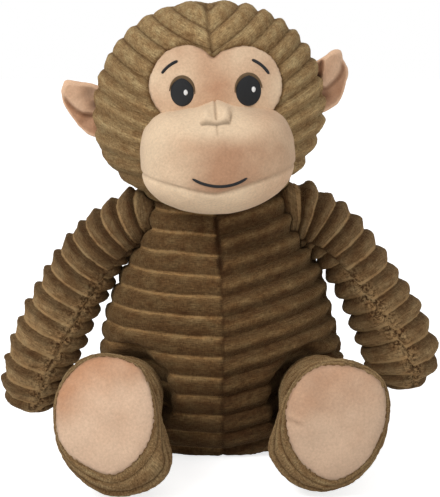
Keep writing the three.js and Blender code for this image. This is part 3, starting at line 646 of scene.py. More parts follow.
LEG_STATIONS = [(0, 27, 27), (0.15, 27, 27), (0.32, 28.5, 28.5), (0.5, 30, 31), (0.65, 32, 33.5),
                (1, 38.5, 40)]
FOOT_FROM = 0.45
FOOT_FULL = 0.72
FOOT_RADIUS = 40 * MM
INSTEP = 0.17
RIM_PINCHES = {
    "right": [(1.75, 0.05, 0.5)],
    "left": [(1.2, 0.07, 1.0), (1.37, 0.04, 0.6), (0.62, 0.05, 0.5)],
}
RIM = 13 * MM
PINCH_DEPTH = 2.6 * MM
SOLE_DOME = 4 * MM
SOLE_BACK = 2 * MM
SOLE_SINK = -1 * MM
# For each sole: the lean and share of its pinker brushed patch, and a factor of painted light, which shades
# the left sole.
SOLE_NAP_AND_LIGHT = {"right": (0.45, 1.0, 1.0), "left": (0.35, 0.6, 0.87)}
LEG_FIRST_RIB = 20
FINE_PITCH = 6.5 * MM
FINE_REACH = 20 * MM
GATHERS = 46
GATHER_DEPTH = 0.5 * MM


def closed_line(points, steps=8):
    """A smooth closed outline through points, by cubic pieces."""
    points = np.array(points, dtype=float)
    before, after, later = (np.roll(points, shift, axis=0) for shift in (1, -1, -2))
    pieces = []
    for t in np.arange(steps) / steps:
        curve = (2 * points + (after - before) * t + (2 * before - 5 * points + 4 * after - later) * t**2
                 + (3 * points - before - 3 * after + later) * t**3) / 2
        pieces.append(curve)
    return np.stack(pieces, axis=1).reshape(-1, 2)


def reach_round(outline, middle, turn):
    """How far an outline in millimetres lies from a middle, in each direction round it."""
    rel = closed_line(outline) * MM - middle
    turns = np.arctan2(rel[:, 1], rel[:, 0])
    order = np.argsort(turns)
    return np.interp(turn, turns[order], np.linalg.norm(rel, axis=1)[order], period=2 * math.pi)


def join_rings(shape, rows):
    """Faces from each ring of points to the next."""
    for one, two in zip(rows, rows[1:]):
        for number in range(len(one)):
            after = (number + 1) % len(one)
            shape.faces.new((one[number], one[after], two[after], two[number]))


def tube(name, rings, first, last):
    """A closed form through rings of points, with one point at each end."""
    shape = bmesh.new()
    rows = [[shape.verts.new(point) for point in ring] for ring in rings]
    join_rings(shape, rows)
    for point, row in ((first, rows[0]), (last, rows[-1])):
        end = shape.verts.new(point)
        for number in range(len(row)):
            shape.faces.new((end, row[(number + 1) % len(row)], row[number]))
    bmesh.ops.recalc_face_normals(shape, faces=shape.faces)
    return new_piece(name, shape)


def unit_ball(name, segments, rows):
    """A ball of radius 1, to be laid out as a pad."""
    shape = bmesh.new()
    bmesh.ops.create_uvsphere(shape, u_segments=segments, v_segments=rows, radius=1)
    return new_piece(name, shape)


def twin(piece, name):
    """A copy of a piece, with a mesh of its own."""
    copy = piece.copy()
    copy.data = piece.data.copy()
    copy.name = copy.data.name = name
    bpy.context.collection.objects.link(copy)
    return copy


def short_pile(name, colour, deep):
    """Short-pile plush: fine flecks, and soft patches where the pile lies another way, which on the ears also
    carry painted light. The point number "shadow" scales the tone by painted light and shade.
    """
    material, maths, shader = new_material(name)
    where = maths.out("ShaderNodeTexCoord", "Object")
    patch = maths.noise(where, 50.0, 2.0)
    fleck = maths.noise(where, 650.0, 3.0, 0.65)
    toward_deep = (maths.kept("brushed") + (patch - 0.5) * 0.7).ramp([(0, 0), (1, 1)])
    mixed = toward_deep.blend((*colour, 1), (*deep, 1))
    scaled_colour(shader, mixed, fleck.swing(0.5) * maths.kept("shadow"))
    pile_sheen(shader, 0.25, "#f4dcc4")
    bumped(shader, fleck, strength=0.5, distance=0.5 * MM)
    return material


leg_plush = plush("plush_leg", tint("#7d6040"), RIB_ROLL, streaks=1.0, ticks=2.4)
sole_pile = short_pile("sole_pile", tint("#d6b69a"), tint("#bf8e6c"))

for label, side in (("left", 1), ("right", -1)):
    sole_points = read_points(frame["nodes"][f"sole_{label}"])
    middle = (sole_points.min(axis=0) + sole_points.max(axis=0)) / 2
    flat_axis = np.linalg.svd(sole_points - sole_points.mean(axis=0), full_matrices=False)[2][2]
    facing = flat_axis * -np.sign(flat_axis[1])
    sideways = np.cross((0, 0, 1), facing)
    sideways /= np.linalg.norm(sideways)
    upward = np.cross(facing, sideways)
    middle = middle + facing * (((sole_points - middle) @ facing).max() - SOLE_DOME)
    hip = joint_at[f"hip_{label}"]
    full = np.linalg.norm(middle - hip)
    ahead = (middle - hip) / full
    turns = np.linspace(0, 2 * math.pi, 49)[:-1]
    foot_reach = reach_round(FOOT_OUTLINES[label], middle[[0, 2]], turns)
    sole_reach = reach_round(SOLE_OUTLINES[label], middle[[0, 2]], turns)
    round_way = np.outer(np.cos(turns), sideways) + np.outer(np.sin(turns), upward)
    shares, wide, high = np.array(LEG_STATIONS).T
    hip_ball = wide[0] * MM
    inner = np.maximum(-side * np.cos(turns), 0) * step(np.sin(turns), -0.5, 0.1)
    rings = []
    for lift in np.radians((-70, -45, -20)):
        rings.append(hip + ahead * hip_ball * math.sin(lift) + round_way * hip_ball * math.cos(lift))
    for share in np.linspace(0, 1 - RIM / full, 24):
        half_wide, half_high = np.interp(share, shares, wide), np.interp(share, shares, high)
        own = half_wide * half_high / np.hypot(np.cos(turns) * half_high, np.sin(turns) * half_wide) * MM
        behind = np.maximum((1 - share) * full - 0.6 * RIM, 0)
        lower = INSTEP * (1 + 0.9 * np.sin(turns) + 0.9 * inner) * behind
        reach = own + (foot_reach - lower - own) * step(share, FOOT_FROM, FOOT_FULL)
        rings.append(hip + (middle - hip) * share + round_way * reach[:, None])
    for lift in np.radians((15, 35, 55, 75)):
        reach = sole_reach * 0.97 + (foot_reach - sole_reach * 0.97) * math.cos(lift)
        rings.append(middle - facing * RIM * (1 - math.sin(lift)) + round_way * reach[:, None])
    for share in (0.9, 0.7, 0.4):
        rings.append(middle + facing * 2 * SOLE_SINK + round_way * sole_reach[:, None] * share)
    leg = tube(f"leg_cover_{label}", rings, hip - ahead * hip_ball, middle + facing * 2 * SOLE_SINK)
    puffed(leg, 1 * MM)
    twin(leg, f"leg_stuffing_{label}")
    refined(leg)
    points, normals = read_points(leg), read_points(leg, "normal")
    rel = points - middle
    u, v, w = rel @ sideways, rel @ upward, rel @ facing
    around = np.arctan2(v, u)
    beside = np.hypot(u, v) - np.interp(around, turns, sole_reach, period=2 * math.pi)
    back = np.maximum(-w, 0) + np.clip(beside, -2 * MM, 8 * MM)
    fine_ribs = FINE_REACH / FINE_PITCH
    wale = np.interp(back, [0, FINE_REACH, 120 * MM], [0, fine_ribs, fine_ribs + 9]) + LEG_FIRST_RIB
    under_sole = step(w, -6 * MM, -2 * MM) * step(-beside, 0, 2 * MM)
    near_rim = step(-back, -22 * MM, -12 * MM)
    gather = np.cos(around * GATHERS + 2 * np.sin(around * 3)) * step(-back, -5 * MM, 0)
    depth = RIB_DEPTH * (1 - 0.72 * near_rim) * (1 - rib_height(wale)) * (1 - under_sole)
    depth = depth + GATHER_DEPTH * gather + tousled(points, (3, 14), fine=0.4 * MM)
    pinch = sum(size * hill(around - turn, half) for turn, half, size in RIM_PINCHES[label])
    pinch = pinch * step(-back, -16 * MM, -8 * MM) * (1 - under_sole)
    carve(leg, points, normals, depth * step(points[:, 2], 0, 5 * MM) + PINCH_DEPTH * pinch)
    press_clear(leg, torso_tree)
    # Painted shade under the sole's edge and in the pinches of the rim, and a painted highlight round the
    # rim.
    light = 1.08 * (1 - 0.4 * under_sole) * (1 - 0.45 * pinch) * (1 + 0.25 * hill(back - 7 * MM, 4 * MM))
    keep_numbers(leg, wale=wale, run=around * FOOT_RADIUS, nap=0, shadow=light, fuzz=0)
    leg.data.materials.append(leg_plush)
    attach(leg, f"leg_{label}")
    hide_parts(f"leg_outer_panel_{label}", f"leg_inner_panel_{label}")

    sole = unit_ball(f"sole_pad_{label}", 96, 48)
    ball = read_points(sole)
    reach = np.linalg.norm(ball[:, :2], axis=1)
    thick = np.where(ball[:, 2] > 0, SOLE_DOME, SOLE_BACK)
    front_rise = np.sign(ball[:, 2]) * thick * np.maximum(1 - reach**4, 0) ** 0.5
    out = np.interp(np.arctan2(ball[:, 1], ball[:, 0]), turns, sole_reach, period=2 * math.pi)
    out = out + 0.7 * MM * rough(ball * 0.04, 3 * MM, 17) * reach**4
    placed = middle + np.outer(ball[:, 0] * out, sideways) + np.outer(ball[:, 1] * out, upward)
    edge_pull = 2 * MM * reach**6
    fold = np.zeros(len(ball))
    if label == "left":
        fold_gap = ball[:, 1] - 0.16 + 0.4 * (ball[:, 0] + 1)
        fold = (hill(fold_gap, 0.04) - 0.8 * hill(fold_gap - 0.11, 0.06)) * step(-ball[:, 0], 0.55, 0.8)
        edge_pull = edge_pull + 1.8 * MM * fold
    placed = placed + np.outer(front_rise - edge_pull, facing)
    placed = placed + facing * (0.4 * MM * rough(placed, 14 * MM, 5))[:, None]
    move_points(sole, placed)
    sole.data.shade_smooth()
    lean, pinker, light = SOLE_NAP_AND_LIGHT[label]
    high_share = ball[:, 1] - lean * ball[:, 0] + 0.35 * rough(placed, 16 * MM, 18)
    # Painted shade in the fold and round the edge of the sole, over a random unevenness of tone.
    light = light * (1 + 0.08 * rough(placed, 12 * MM, 19)) * (1 - 0.13 * fold)
    light = light * (1 - 0.25 * step(reach, 0.95, 1))
    keep_numbers(sole, brushed=pinker * step(high_share, -0.2, 1.1), shadow=light)
    sole.data.materials.append(sole_pile)
    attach(sole, f"leg_{label}")
    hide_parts(f"sole_{label}")

# Head cover
# Two crown panels meet in a seam down the forehead, where their ribs run together in a V,
# and a nape panel closes the back.

HEAD_SIZE = np.array([151, 126, 140]) * MM
HEAD_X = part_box("crown_panel_right")[0].x + HEAD_SIZE[0] / 2
HEAD_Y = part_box("nape_panel")[1].y - HEAD_SIZE[1] / 2
HEAD_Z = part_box("crown_panel_right")[1].z - HEAD_SIZE[2] / 2
HEAD_REACH = [(-90, 69), (-60, 71), (-35, 72), (-20, 73.5), (-5, 76.5), (30, 77), (45, 76), (60, 74.5),
              (75, 72.5), (90, 70.5), (105, 72), (120, 73.5), (135, 74.5), (150, 75.5), (165, 76.5),
              (200, 78), (212, 76), (225, 72.5), (245, 70)]
HEAD_RIB_MIDDLE = (-7.3 * MM, 95.7 * MM)
HEAD_RIB_REACH = (73.4 * MM, 70 * MM)
HEAD_RIBS = {"right": (4.4, -6.79, 1.13, 0.7, 1.87, 1.56), "left": (4.03, -6.75, 1.44, 2.51, 1.58, 0.74)}
HEAD_RADIUS = 60 * MM
CROWN_SEAM = [(250, -3.5), (262, -4.5), (278, -7), (292, -9)]
CROWN_SEAM_WIDTH = 1.3 * MM
CROWN_SEAM_DEPTH = 1.8 * MM
FACE_X = -2.5 * MM
HEART = [(-42.5, 233), (-45.5, 242), (-44.5, 251), (-39.7, 260.2), (-34.5, 265.3), (-28, 268.4),
         (-19, 269.7), (-10, 266.3), (-4.4, 261.8), (1.8, 265.9), (15, 269), (26.5, 266.5),
         (34.7, 260.2), (39.3, 250.8), (40.2, 241.3), (38, 233.7), (33, 226), (25, 215), (-30, 215),
         (-37.5, 226)]
UNDER_PATCH = 3.5 * MM


def outside(points, outline):
    """Distance from a closed outline, negative inside it."""
    end = np.roll(outline, -1, axis=0)
    edge = end - outline
    slant = np.where(edge[:, 1] == 0, 1e-12, edge[:, 1])
    gaps = []
    for part in np.array_split(points, 40):
        rel = part[:, None, :] - outline
        share = np.clip((rel * edge).sum(axis=2) / (edge**2).sum(axis=1), 0, 1)
        gap = np.linalg.norm(rel - share[:, :, None] * edge, axis=2).min(axis=1)
        crosses = (outline[:, 1] > part[:, 1:2]) != (end[:, 1] > part[:, 1:2])
        reach = edge[:, 0] * (part[:, 1:2] - outline[:, 1]) / slant + outline[:, 0]
        inside = (crosses & (part[:, 0:1] < reach)).sum(axis=1) % 2 == 1
        gaps.append(np.where(inside, -gap, gap))
    return np.concatenate(gaps)


def in_picture(points):
    """Where the camera sees points: metres across and up from the middle of the picture."""
    rel = points - np.array(camera.location)
    upright = np.array([0, math.sin(CAMERA_ELEVATION), math.cos(CAMERA_ELEVATION)])
    nearer = CAMERA_DISTANCE / -(rel @ np.array(view_back))
    return rel[:, 0] * nearer, rel @ upright * nearer


def head_wale(points, middle_x):
    """Rib number on the head: curves fitted to the photograph in front, and their mean behind."""
    folded = points.copy()
    folded[:, 1] = HEAD_Y - np.abs(points[:, 1] - HEAD_Y)
    across, up = in_picture(folded)
    a = (across - HEAD_RIB_MIDDLE[0]) / HEAD_RIB_REACH[0]
    b = (up - HEAD_RIB_MIDDLE[1]) / HEAD_RIB_REACH[1]

    def count(c, out):
        return c[0] + c[1] * b + c[2] * b * b + c[3] * out + c[4] * out * b + c[5] * out * out

    left, right = (count(HEAD_RIBS[label], np.abs(a)) for label in ("left", "right"))
    nape = count(np.add(HEAD_RIBS["left"], HEAD_RIBS["right"]) / 2, np.sqrt(a * a + 0.03))
    behind = step(points[:, 1] - HEAD_Y, 0, 35 * MM)
    front = np.where(points[:, 0] > middle_x, left, right)
    return FIRST_RIB + front * (1 - behind) + nape * behind


heart = closed_line(HEART) * MM
head = stuffed("head_cover", [
    "crown_panel_left", "crown_panel_right", "nape_panel", "face_patch", "head_fibre",
])
centre = np.array([HEAD_X, HEAD_Y, HEAD_Z])
rel = read_points(head) - centre
turns, reaches = np.array(HEAD_REACH).T
widest = np.interp(np.arctan2(rel[:, 2], rel[:, 0]), np.radians(turns), reaches * MM, period=2 * math.pi)
reach = np.hypot(np.hypot(rel[:, 0], rel[:, 2]) / widest, rel[:, 1] / (HEAD_SIZE[1] / 2 + 0.8 * MM))
shift = (1 / reach - 1) * step(reach, 0.86, 0.94)
move_points(head, centre + rel * (1 + shift[:, None]))
points, normals = read_points(head), read_points(head, "normal")
heights, seam_places = np.array(CROWN_SEAM).T * MM
seam_x = np.interp(points[:, 2], heights, seam_places)
x, z = points[:, 0] - seam_x, points[:, 2] - HEAD_Z
heart_gap = np.where(points[:, 1] < HEAD_Y, outside(points[:, [0, 2]], heart), 50 * MM)
wale = head_wale(points, seam_x)
in_front = 1 - step(points[:, 1] - HEAD_Y, 0, 10 * MM)
seam = hill(x, CROWN_SEAM_WIDTH) * (z > 0) * in_front
under_patch = step(-heart_gap, -1.5 * MM, 0)
deepest = RIB_DEPTH * (0.65 + 0.3 * step(x, -30 * MM, 30 * MM))
depth = deepest * (1 - rib_height(wale, RIB_CREST, 2, 1.7)) * (1 - 0.4 * seam) * (1 - under_patch)
depth = depth + CROWN_SEAM_DEPTH * seam + UNDER_PATCH * under_patch
depth = depth + tousled(points, (4, 13), coarse=0.5 * MM, tuft=2.2 * MM)

patch = twin(head, "face_patch_cover")
carve(head, points, normals, depth)
press_clear(head, torso_tree, gap=1.2 * MM)
head_tree = skin_tree(head)
for label in ("left", "right"):
    press_clear(bpy.data.objects[f"arm_cover_{label}"], head_tree, gap=1 * MM)
run = np.arctan2(x, -(points[:, 1] - HEAD_Y)) * HEAD_RADIUS
# Painted light: the crown and the far side are made lighter, with painted shade in the crown seam and round
# the edge of the heart.
top, far_side = step(z, 10 * MM, 60 * MM), step(x, 0, 40 * MM)
light = 1.1 + 0.28 * top * (1 - 0.6 * far_side) + 0.32 * far_side * (1 - top)
nap = np.clip(0.85 - 1.0 * step(z, 0, 50 * MM) * (1 - 0.5 * far_side), 0, 1)
light = light * (1 - 0.5 * seam) * (1 - 0.35 * hill(heart_gap, 2.5 * MM))
keep_numbers(head, wale=wale, run=run, nap=nap, shadow=light, fuzz=0)
head.data.materials.append(plush("plush_head", tint("#8c6e4a"), RIB_ROLL, RIB_FAINT))
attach(head, "head")
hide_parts("crown_panel_left", "crown_panel_right", "nape_panel")

# Face patch
# A heart of short pile set into the crown panels. It is sewn in along its edge, which turns
# down under their longer pile.

PATCH_HEM = 2.5 * MM
PATCH_RISE = 0.3 * MM
PATCH_TURN_DOWN = 3.6 * MM
PATCH_THICK = 1.5 * MM

shape = bmesh.new()
shape.from_mesh(patch.data)
shape.verts.ensure_lookup_table()
past_hem = [vert for vert in shape.verts if heart_gap[vert.index] > PATCH_HEM]
bmesh.ops.delete(shape, geom=past_hem, context="VERTS")
shape.to_mesh(patch.data)
shape.free()
points, normals = read_points(patch), read_points(patch, "normal")
gap = outside(points[:, [0, 2]], heart) + 0.7 * MM * rough(points, 2.4 * MM, 16)
lift = PATCH_RISE * (1 - np.exp(np.minimum(gap, 0) / (4 * MM)))
lift = lift - PATCH_TURN_DOWN * step(gap, -1.5 * MM, 1.8 * MM)
move_points(patch, points + normals * lift[:, None])
applied(patch, "SOLIDIFY", thickness=PATCH_THICK, offset=-1)
points = read_points(patch)
brushed = 0.35 + 0.45 * hill(points[:, 0] - FACE_X, 16 * MM) + 0.3 * rough(points, 18 * MM, 6)
# Painted shade along the edge of the heart, where it turns down under the crown pile.
edge = step(outside(points[:, [0, 2]], heart), -1.6 * MM, 0.5 * MM)
keep_numbers(patch, brushed=brushed, shadow=1 - 0.45 * edge)
face_pile = short_pile("face_pile", tint("#e2c7a7"), tint("#ba8f70"))
patch.data.materials.append(face_pile)
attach(patch, "head")
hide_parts("face_patch")

# Muzzle and chin
# A full muzzle of short pile, with the nose pinched up by a few stitches, and a chin panel
# that is sewn under it.

MUZZLE_OUTLINE = [(-50.9, 202), (-49.8, 188.4), (-47.9, 180.6), (-39.6, 171.6), (-28.1, 165.8),
                  (-15.4, 162.8), (-2.6, 161.9), (10.2, 163.2), (24.3, 167.8), (37.1, 175.5),
                  (44.7, 184.5), (47.6, 193.5), (47.8, 203.8), (45.8, 214), (42, 221.7), (36.9, 226.8),
                  (31.8, 228.7), (21.6, 230.6), (8.9, 232.2), (-1.3, 234), (-14, 232), (-24.1, 229.9),
                  (-34.3, 228), (-40.7, 224.8), (-45.8, 219.1), (-49, 214)]
MUZZLE_MIDDLE = np.array([FACE_X, -3.2 * MM, 199 * MM])
MUZZLE_FULLNESS = 2.3
CHIN_LOW = 177.5
CHIN_CURVE = 0.23
CHIN_TILT = 0.1
NOSE_LOBE = (6 * MM, 227.3 * MM)
NOSE_FOOT = 223.1 * MM
NOSE_WING = (8.8 * MM, 223 * MM)


def band(value, *places):
    """Climbs to 1 between the first two places in millimetres, and falls back between the last two."""
    start, full, fading, end = np.array(places) * MM
    return step(value, start, full) * step(-value, -end, -fading)


bpy.ops.mesh.primitive_cube_add(size=2, location=(0, 0, 0))
muzzle = bpy.context.object
muzzle.name = muzzle.data.name = "muzzle_cover"
bpy.ops.object.mode_set(mode="EDIT")
bpy.ops.mesh.select_all(action="SELECT")
bpy.ops.mesh.subdivide(number_cuts=31)
bpy.ops.object.mode_set(mode="OBJECT")
ball = read_points(muzzle)
ball /= np.linalg.norm(ball, axis=1, keepdims=True)
turn, reach = np.arctan2(ball[:, 2], ball[:, 0]), np.hypot(ball[:, 0], ball[:, 2])
widest = reach_round(MUZZLE_OUTLINE, MUZZLE_MIDDLE[[0, 2]], turn)
front_depth = MUZZLE_MIDDLE[1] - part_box("muzzle_panel")[0].y
back_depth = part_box("chin_panel")[1].y - MUZZLE_MIDDLE[1]
bulge = np.maximum(1 - reach**MUZZLE_FULLNESS, 0) ** (1 / MUZZLE_FULLNESS)
deep = np.where(ball[:, 1] < 0, -front_depth, back_depth) * bulge
flat = np.stack([np.cos(turn), np.zeros(len(turn)), np.sin(turn)], axis=1) * (widest * reach)[:, None]
move_points(muzzle, MUZZLE_MIDDLE + flat + np.outer(deep, (0, 1, 0)))
puffed(muzzle, 1 * MM)
refined(muzzle)

points, normals = read_points(muzzle), read_points(muzzle, "normal")
x, z = points[:, 0] - FACE_X, points[:, 2]
front = step(-points[:, 1], 0, 8 * MM)
chin_line = CHIN_LOW + CHIN_CURVE * np.sqrt((x / MM) ** 2 + 36) + CHIN_TILT * np.maximum(x / MM, 0)
chin_gap = z - chin_line * MM
chin_seam = hill(chin_gap, 1.2 * MM)
lobes = hill(np.abs(x) - NOSE_LOBE[0], 3.4 * MM) * hill(z - NOSE_LOBE[1], 3.8 * MM)
ridge = hill(x, 5 * MM) * band(z, 225, 231, 236, 247)
bend = x + 1.1 * MM - 0.118 * (237 * MM - z)
crease = hill(bend, 0.7 * MM) * (band(z, 224, 226, 233, 238) + 0.6 * band(z, 215, 218, 222, 224))
under_crease = hill(z - NOSE_FOOT - 0.03 * x, 1.0 * MM) * step(-np.abs(x), -10.5 * MM, -8 * MM)
wing = hill(x - NOSE_WING[0] - 0.2 * (z - NOSE_WING[1]), 0.8 * MM) * band(z, 222, 224, 226, 229)
under_crease = np.maximum(under_crease, 0.7 * wing)
lift = front * (3.6 * MM * lobes + 2.4 * MM * ridge - 1.2 * MM * crease - 1.7 * MM * under_crease)
lift = lift - 0.8 * MM * chin_seam + 0.25 * MM * rough(points, 7 * MM, 9)
move_points(muzzle, points + normals * lift[:, None])
points = read_points(muzzle)
pink = hill(x - 4 * MM, 26 * MM) * step(-z, -221 * MM, -206 * MM) * step(chin_gap, -2 * MM, 3 * MM)
pink = pink + 0.45 * step(x, 10 * MM, 35 * MM)
# Painted shade in the nose creases, under the nose and along the chin seam; the middle of the muzzle is made
# a little darker and the chin strip under the seam lighter, with a random unevenness over all.
crease_shade = (1 - 0.35 * front * crease) * (1 - 0.5 * front * under_crease) * (1 - 0.12 * chin_seam)
crease_shade = crease_shade * (1 - 0.1 * hill(x - 4 * MM, 22 * MM) * hill(z - 203 * MM, 14 * MM))
crease_shade = crease_shade * (1 + 0.2 * step(-chin_gap, 0, 3 * MM)) * (1 + 0.05 * rough(points, 14 * MM, 21))
keep_numbers(muzzle, brushed=np.clip(pink, 0, 1), shadow=crease_shade)
muzzle.data.materials.append(face_pile)
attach(muzzle, "head")
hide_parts("muzzle_panel", "chin_panel")

# Embroidery
# Eyes, eyelids, glints, brows and mouth are satin stitch in dark, brown and white thread. It
# lies on the pile and follows it, with the glint on top of the eye.

EYES = {"right": ((-23.8, 240.0), (7.4, 8.6)), "left": ((18.1, 240.8), (8.0, 9.4))}
LID_TURNS = {"right": (175, -5), "left": (185, 10)}
GLINTS = {"right": (-21.4, 239.9), "left": (21.0, 241.6)}
GLINT_SIZE = (1.6, 1.7)
BROWS = {"right": [(-36.8, 251.4), (-34.4, 254.2), (-31.2, 256.9), (-26.6, 259.3)],
         "left": [(20.2, 260.0), (25.2, 257.3), (28.5, 254.4), (31.0, 250.9)]}
MOUTH = [(-17.0, 189.4), (-13.1, 187.2), (-6.2, 185.2), (1.2, 184.5), (8.7, 185.7), (13.2, 187.6),
         (16.8, 189.8)]
STROKE = 0.92
STROKE_HEIGHT = 0.9 * MM
EYE_HEIGHT = 1.1 * MM
GLINT_HEIGHT = 1.7 * MM
EYE_STEPS = 41
STRAND_PITCH = 0.6 * MM


def thread(name, colour):
    """Satin-stitch thread: fine strands square to the stroke, with a soft shine."""
    material, maths, shader = new_material(name, 0.55)
    strand = (maths.kept("along") * (2 * math.pi / STRAND_PITCH)).maths("SINE")
    fuzz = maths.noise(maths.out("ShaderNodeTexCoord", "Object"), 900.0)
    scaled_colour(shader, tuple(colour), (strand * 0.12 + 0.9) * fuzz.swing(0.5))
    shader.inputs["Sheen Weight"].default_value = 0.1
    shader.inputs["Specular IOR Level"].default_value = 0.3
    bumped(shader, strand, strength=0.5, distance=0.2 * MM)
    return material


face_skin = skin_tree(patch, muzzle)
THREADS = {
    "thread_dark": thread("thread_dark", tint("#1f2022")),
    "thread_white": thread("thread_white", tint("#f8f7f4")),
    "thread_brown": thread("thread_brown", tint("#6b5437")),
}


def embroidered(name, node, path, widths, height, slot, edges=20):
    """Satin stitch along a path on the face: raised a little, and as wide at each step as the widths say."""
    path = np.array(path) * MM
    shape = bmesh.new()
    rings = []
    for place, direction, half in zip(path, headings(path), widths):
        ring = []
        for number in range(edges):
            turn = 2 * math.pi * number / edges
            spot = place + np.array([-direction[1], direction[0]]) * half * MM * math.cos(turn)
            hit, normal, *_ = face_skin.ray_cast(Vector((spot[0], -0.2, spot[1])), Vector((0, 1, 0)))
            ring.append(shape.verts.new(hit + normal * height * math.sin(turn)))
        rings.append(ring)
    join_rings(shape, rings)
    shape.faces.new(rings[0])
    shape.faces.new(reversed(rings[-1]))
    bmesh.ops.recalc_face_normals(shape, faces=shape.faces)
    piece = new_piece(name, shape)
    piece.data.shade_smooth()
    keep_numbers(piece, along=np.repeat(distances(path), edges))
    piece.data.materials.append(THREADS[slot])
    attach(piece, "head")
    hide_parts(node)


def stroke(name, node, points, steps):
    """A line of dark stitches with round ends."""
    share = np.linspace(-1, 1, steps)
    half = STROKE * np.maximum(1 - np.abs(share) ** 12, 0.04) ** 0.5
    embroidered(name, node, smooth_line(points, steps, 3), half, STROKE_HEIGHT, "thread_dark")


share = np.linspace(-1, 1, EYE_STEPS)
round_half = np.maximum(1 - share**2, 0.002) ** 0.5
for label in ("left", "right"):
    (eye_x, eye_z), (wide, high) = EYES[label]
    path = np.stack([np.full(EYE_STEPS, eye_x), eye_z + high * share], axis=1)
    embroidered(f"eye_stitch_{label}", f"eye_{label}", path, wide * round_half, EYE_HEIGHT,
                "thread_dark", edges=40)
    turns = np.radians(np.linspace(*LID_TURNS[label], EYE_STEPS))
    path = np.stack([eye_x + (wide + 0.5) * np.cos(turns), eye_z + (high + 0.7) * np.sin(turns)], axis=1)
    lid_half = 0.25 + 1.1 * np.sin(np.linspace(0, math.pi, EYE_STEPS)) ** 1.2
    embroidered(f"eyelid_stitch_{label}", f"eyelid_{label}", path, lid_half, STROKE_HEIGHT, "thread_brown")
    glint_x, glint_z = GLINTS[label]
    path = np.stack([np.full(EYE_STEPS, glint_x), glint_z + GLINT_SIZE[1] * share], axis=1)
    embroidered(f"glint_stitch_{label}", f"eye_glint_{label}", path, GLINT_SIZE[0] * round_half,
                GLINT_HEIGHT, "thread_white")
    stroke(f"brow_stitch_{label}", f"brow_{label}", BROWS[label], 30)
stroke("mouth_stitch", "mouth", MOUTH, 60)

# Ears
# Each ear is two leaves of the short pile, lightly filled, hollowed and folded at the root,
# where it is caught in the seam at the side of the head.

EAR_OUTLINES = {
    "right": [(-101, 242.8), (-103.3, 239.5), (-104.3, 235.3), (-103.4, 229.3), (-101.2, 224.5),
              (-96.6, 217.5), (-92, 211.9), (-85.9, 206.7), (-79.4, 205.3), (-73.3, 208.3),
              (-71.2, 222.8), (-74.4, 235.9), (-81.4, 240), (-91.7, 241.8)],
    "left": [(64.4, 256.2), (69.4, 259), (72.7, 261.5), (75.9, 262.6), (79.2, 262), (80.5, 259.4),
             (81.2, 256), (83.3, 252.5), (84.7, 249), (84.9, 245.5), (83.6, 241), (82.2, 235.4),
             (80.2, 230.4), (77.5, 226.4), (73.9, 224.3), (70.7, 222.6), (66.8, 222.1), (60.2, 228),
             (57.5, 241.1), (59.4, 252.8)],
}
EAR_LOBES = {
    "right": [(-106, 236), (-103.5, 232.5), (-100.6, 229.3), (-96, 224.7), (-90.8, 221.1), (-83.6, 220.1),
              (-70, 221), (-70, 250), (-106, 250)],
    "left": [(64.5, 266), (66.8, 256), (65.4, 247), (62, 240), (68.6, 237.5), (72.5, 239.8), (76.4, 243.1),
             (80, 248.3), (81.2, 256.7), (80.9, 266)],
}
# Each hollow: its middle x and z and its size in millimetres, its depth in millimetres, and the painted shade
# in it.
EAR_HOLLOWS = {
    "right": [(-84, 235, 6, 2.5, 0.4), (-80.5, 227, 4.5, 3, 0.6), (-87, 217, 4, 1.5, 0.12),
              (-78, 212, 3, 1, 0.2)],
    "left": [(64, 244.5, 3.2, 3, 0.65), (68, 232, 4, 3, 0.45), (63.5, 253, 2.8, 2, 0.4)],
}
EAR_THICK = 3.2 * MM
LOBE_RISE = 3.2 * MM
EAR_CREASE = 1.2 * MM
EAR_HEM = 1.2 * MM

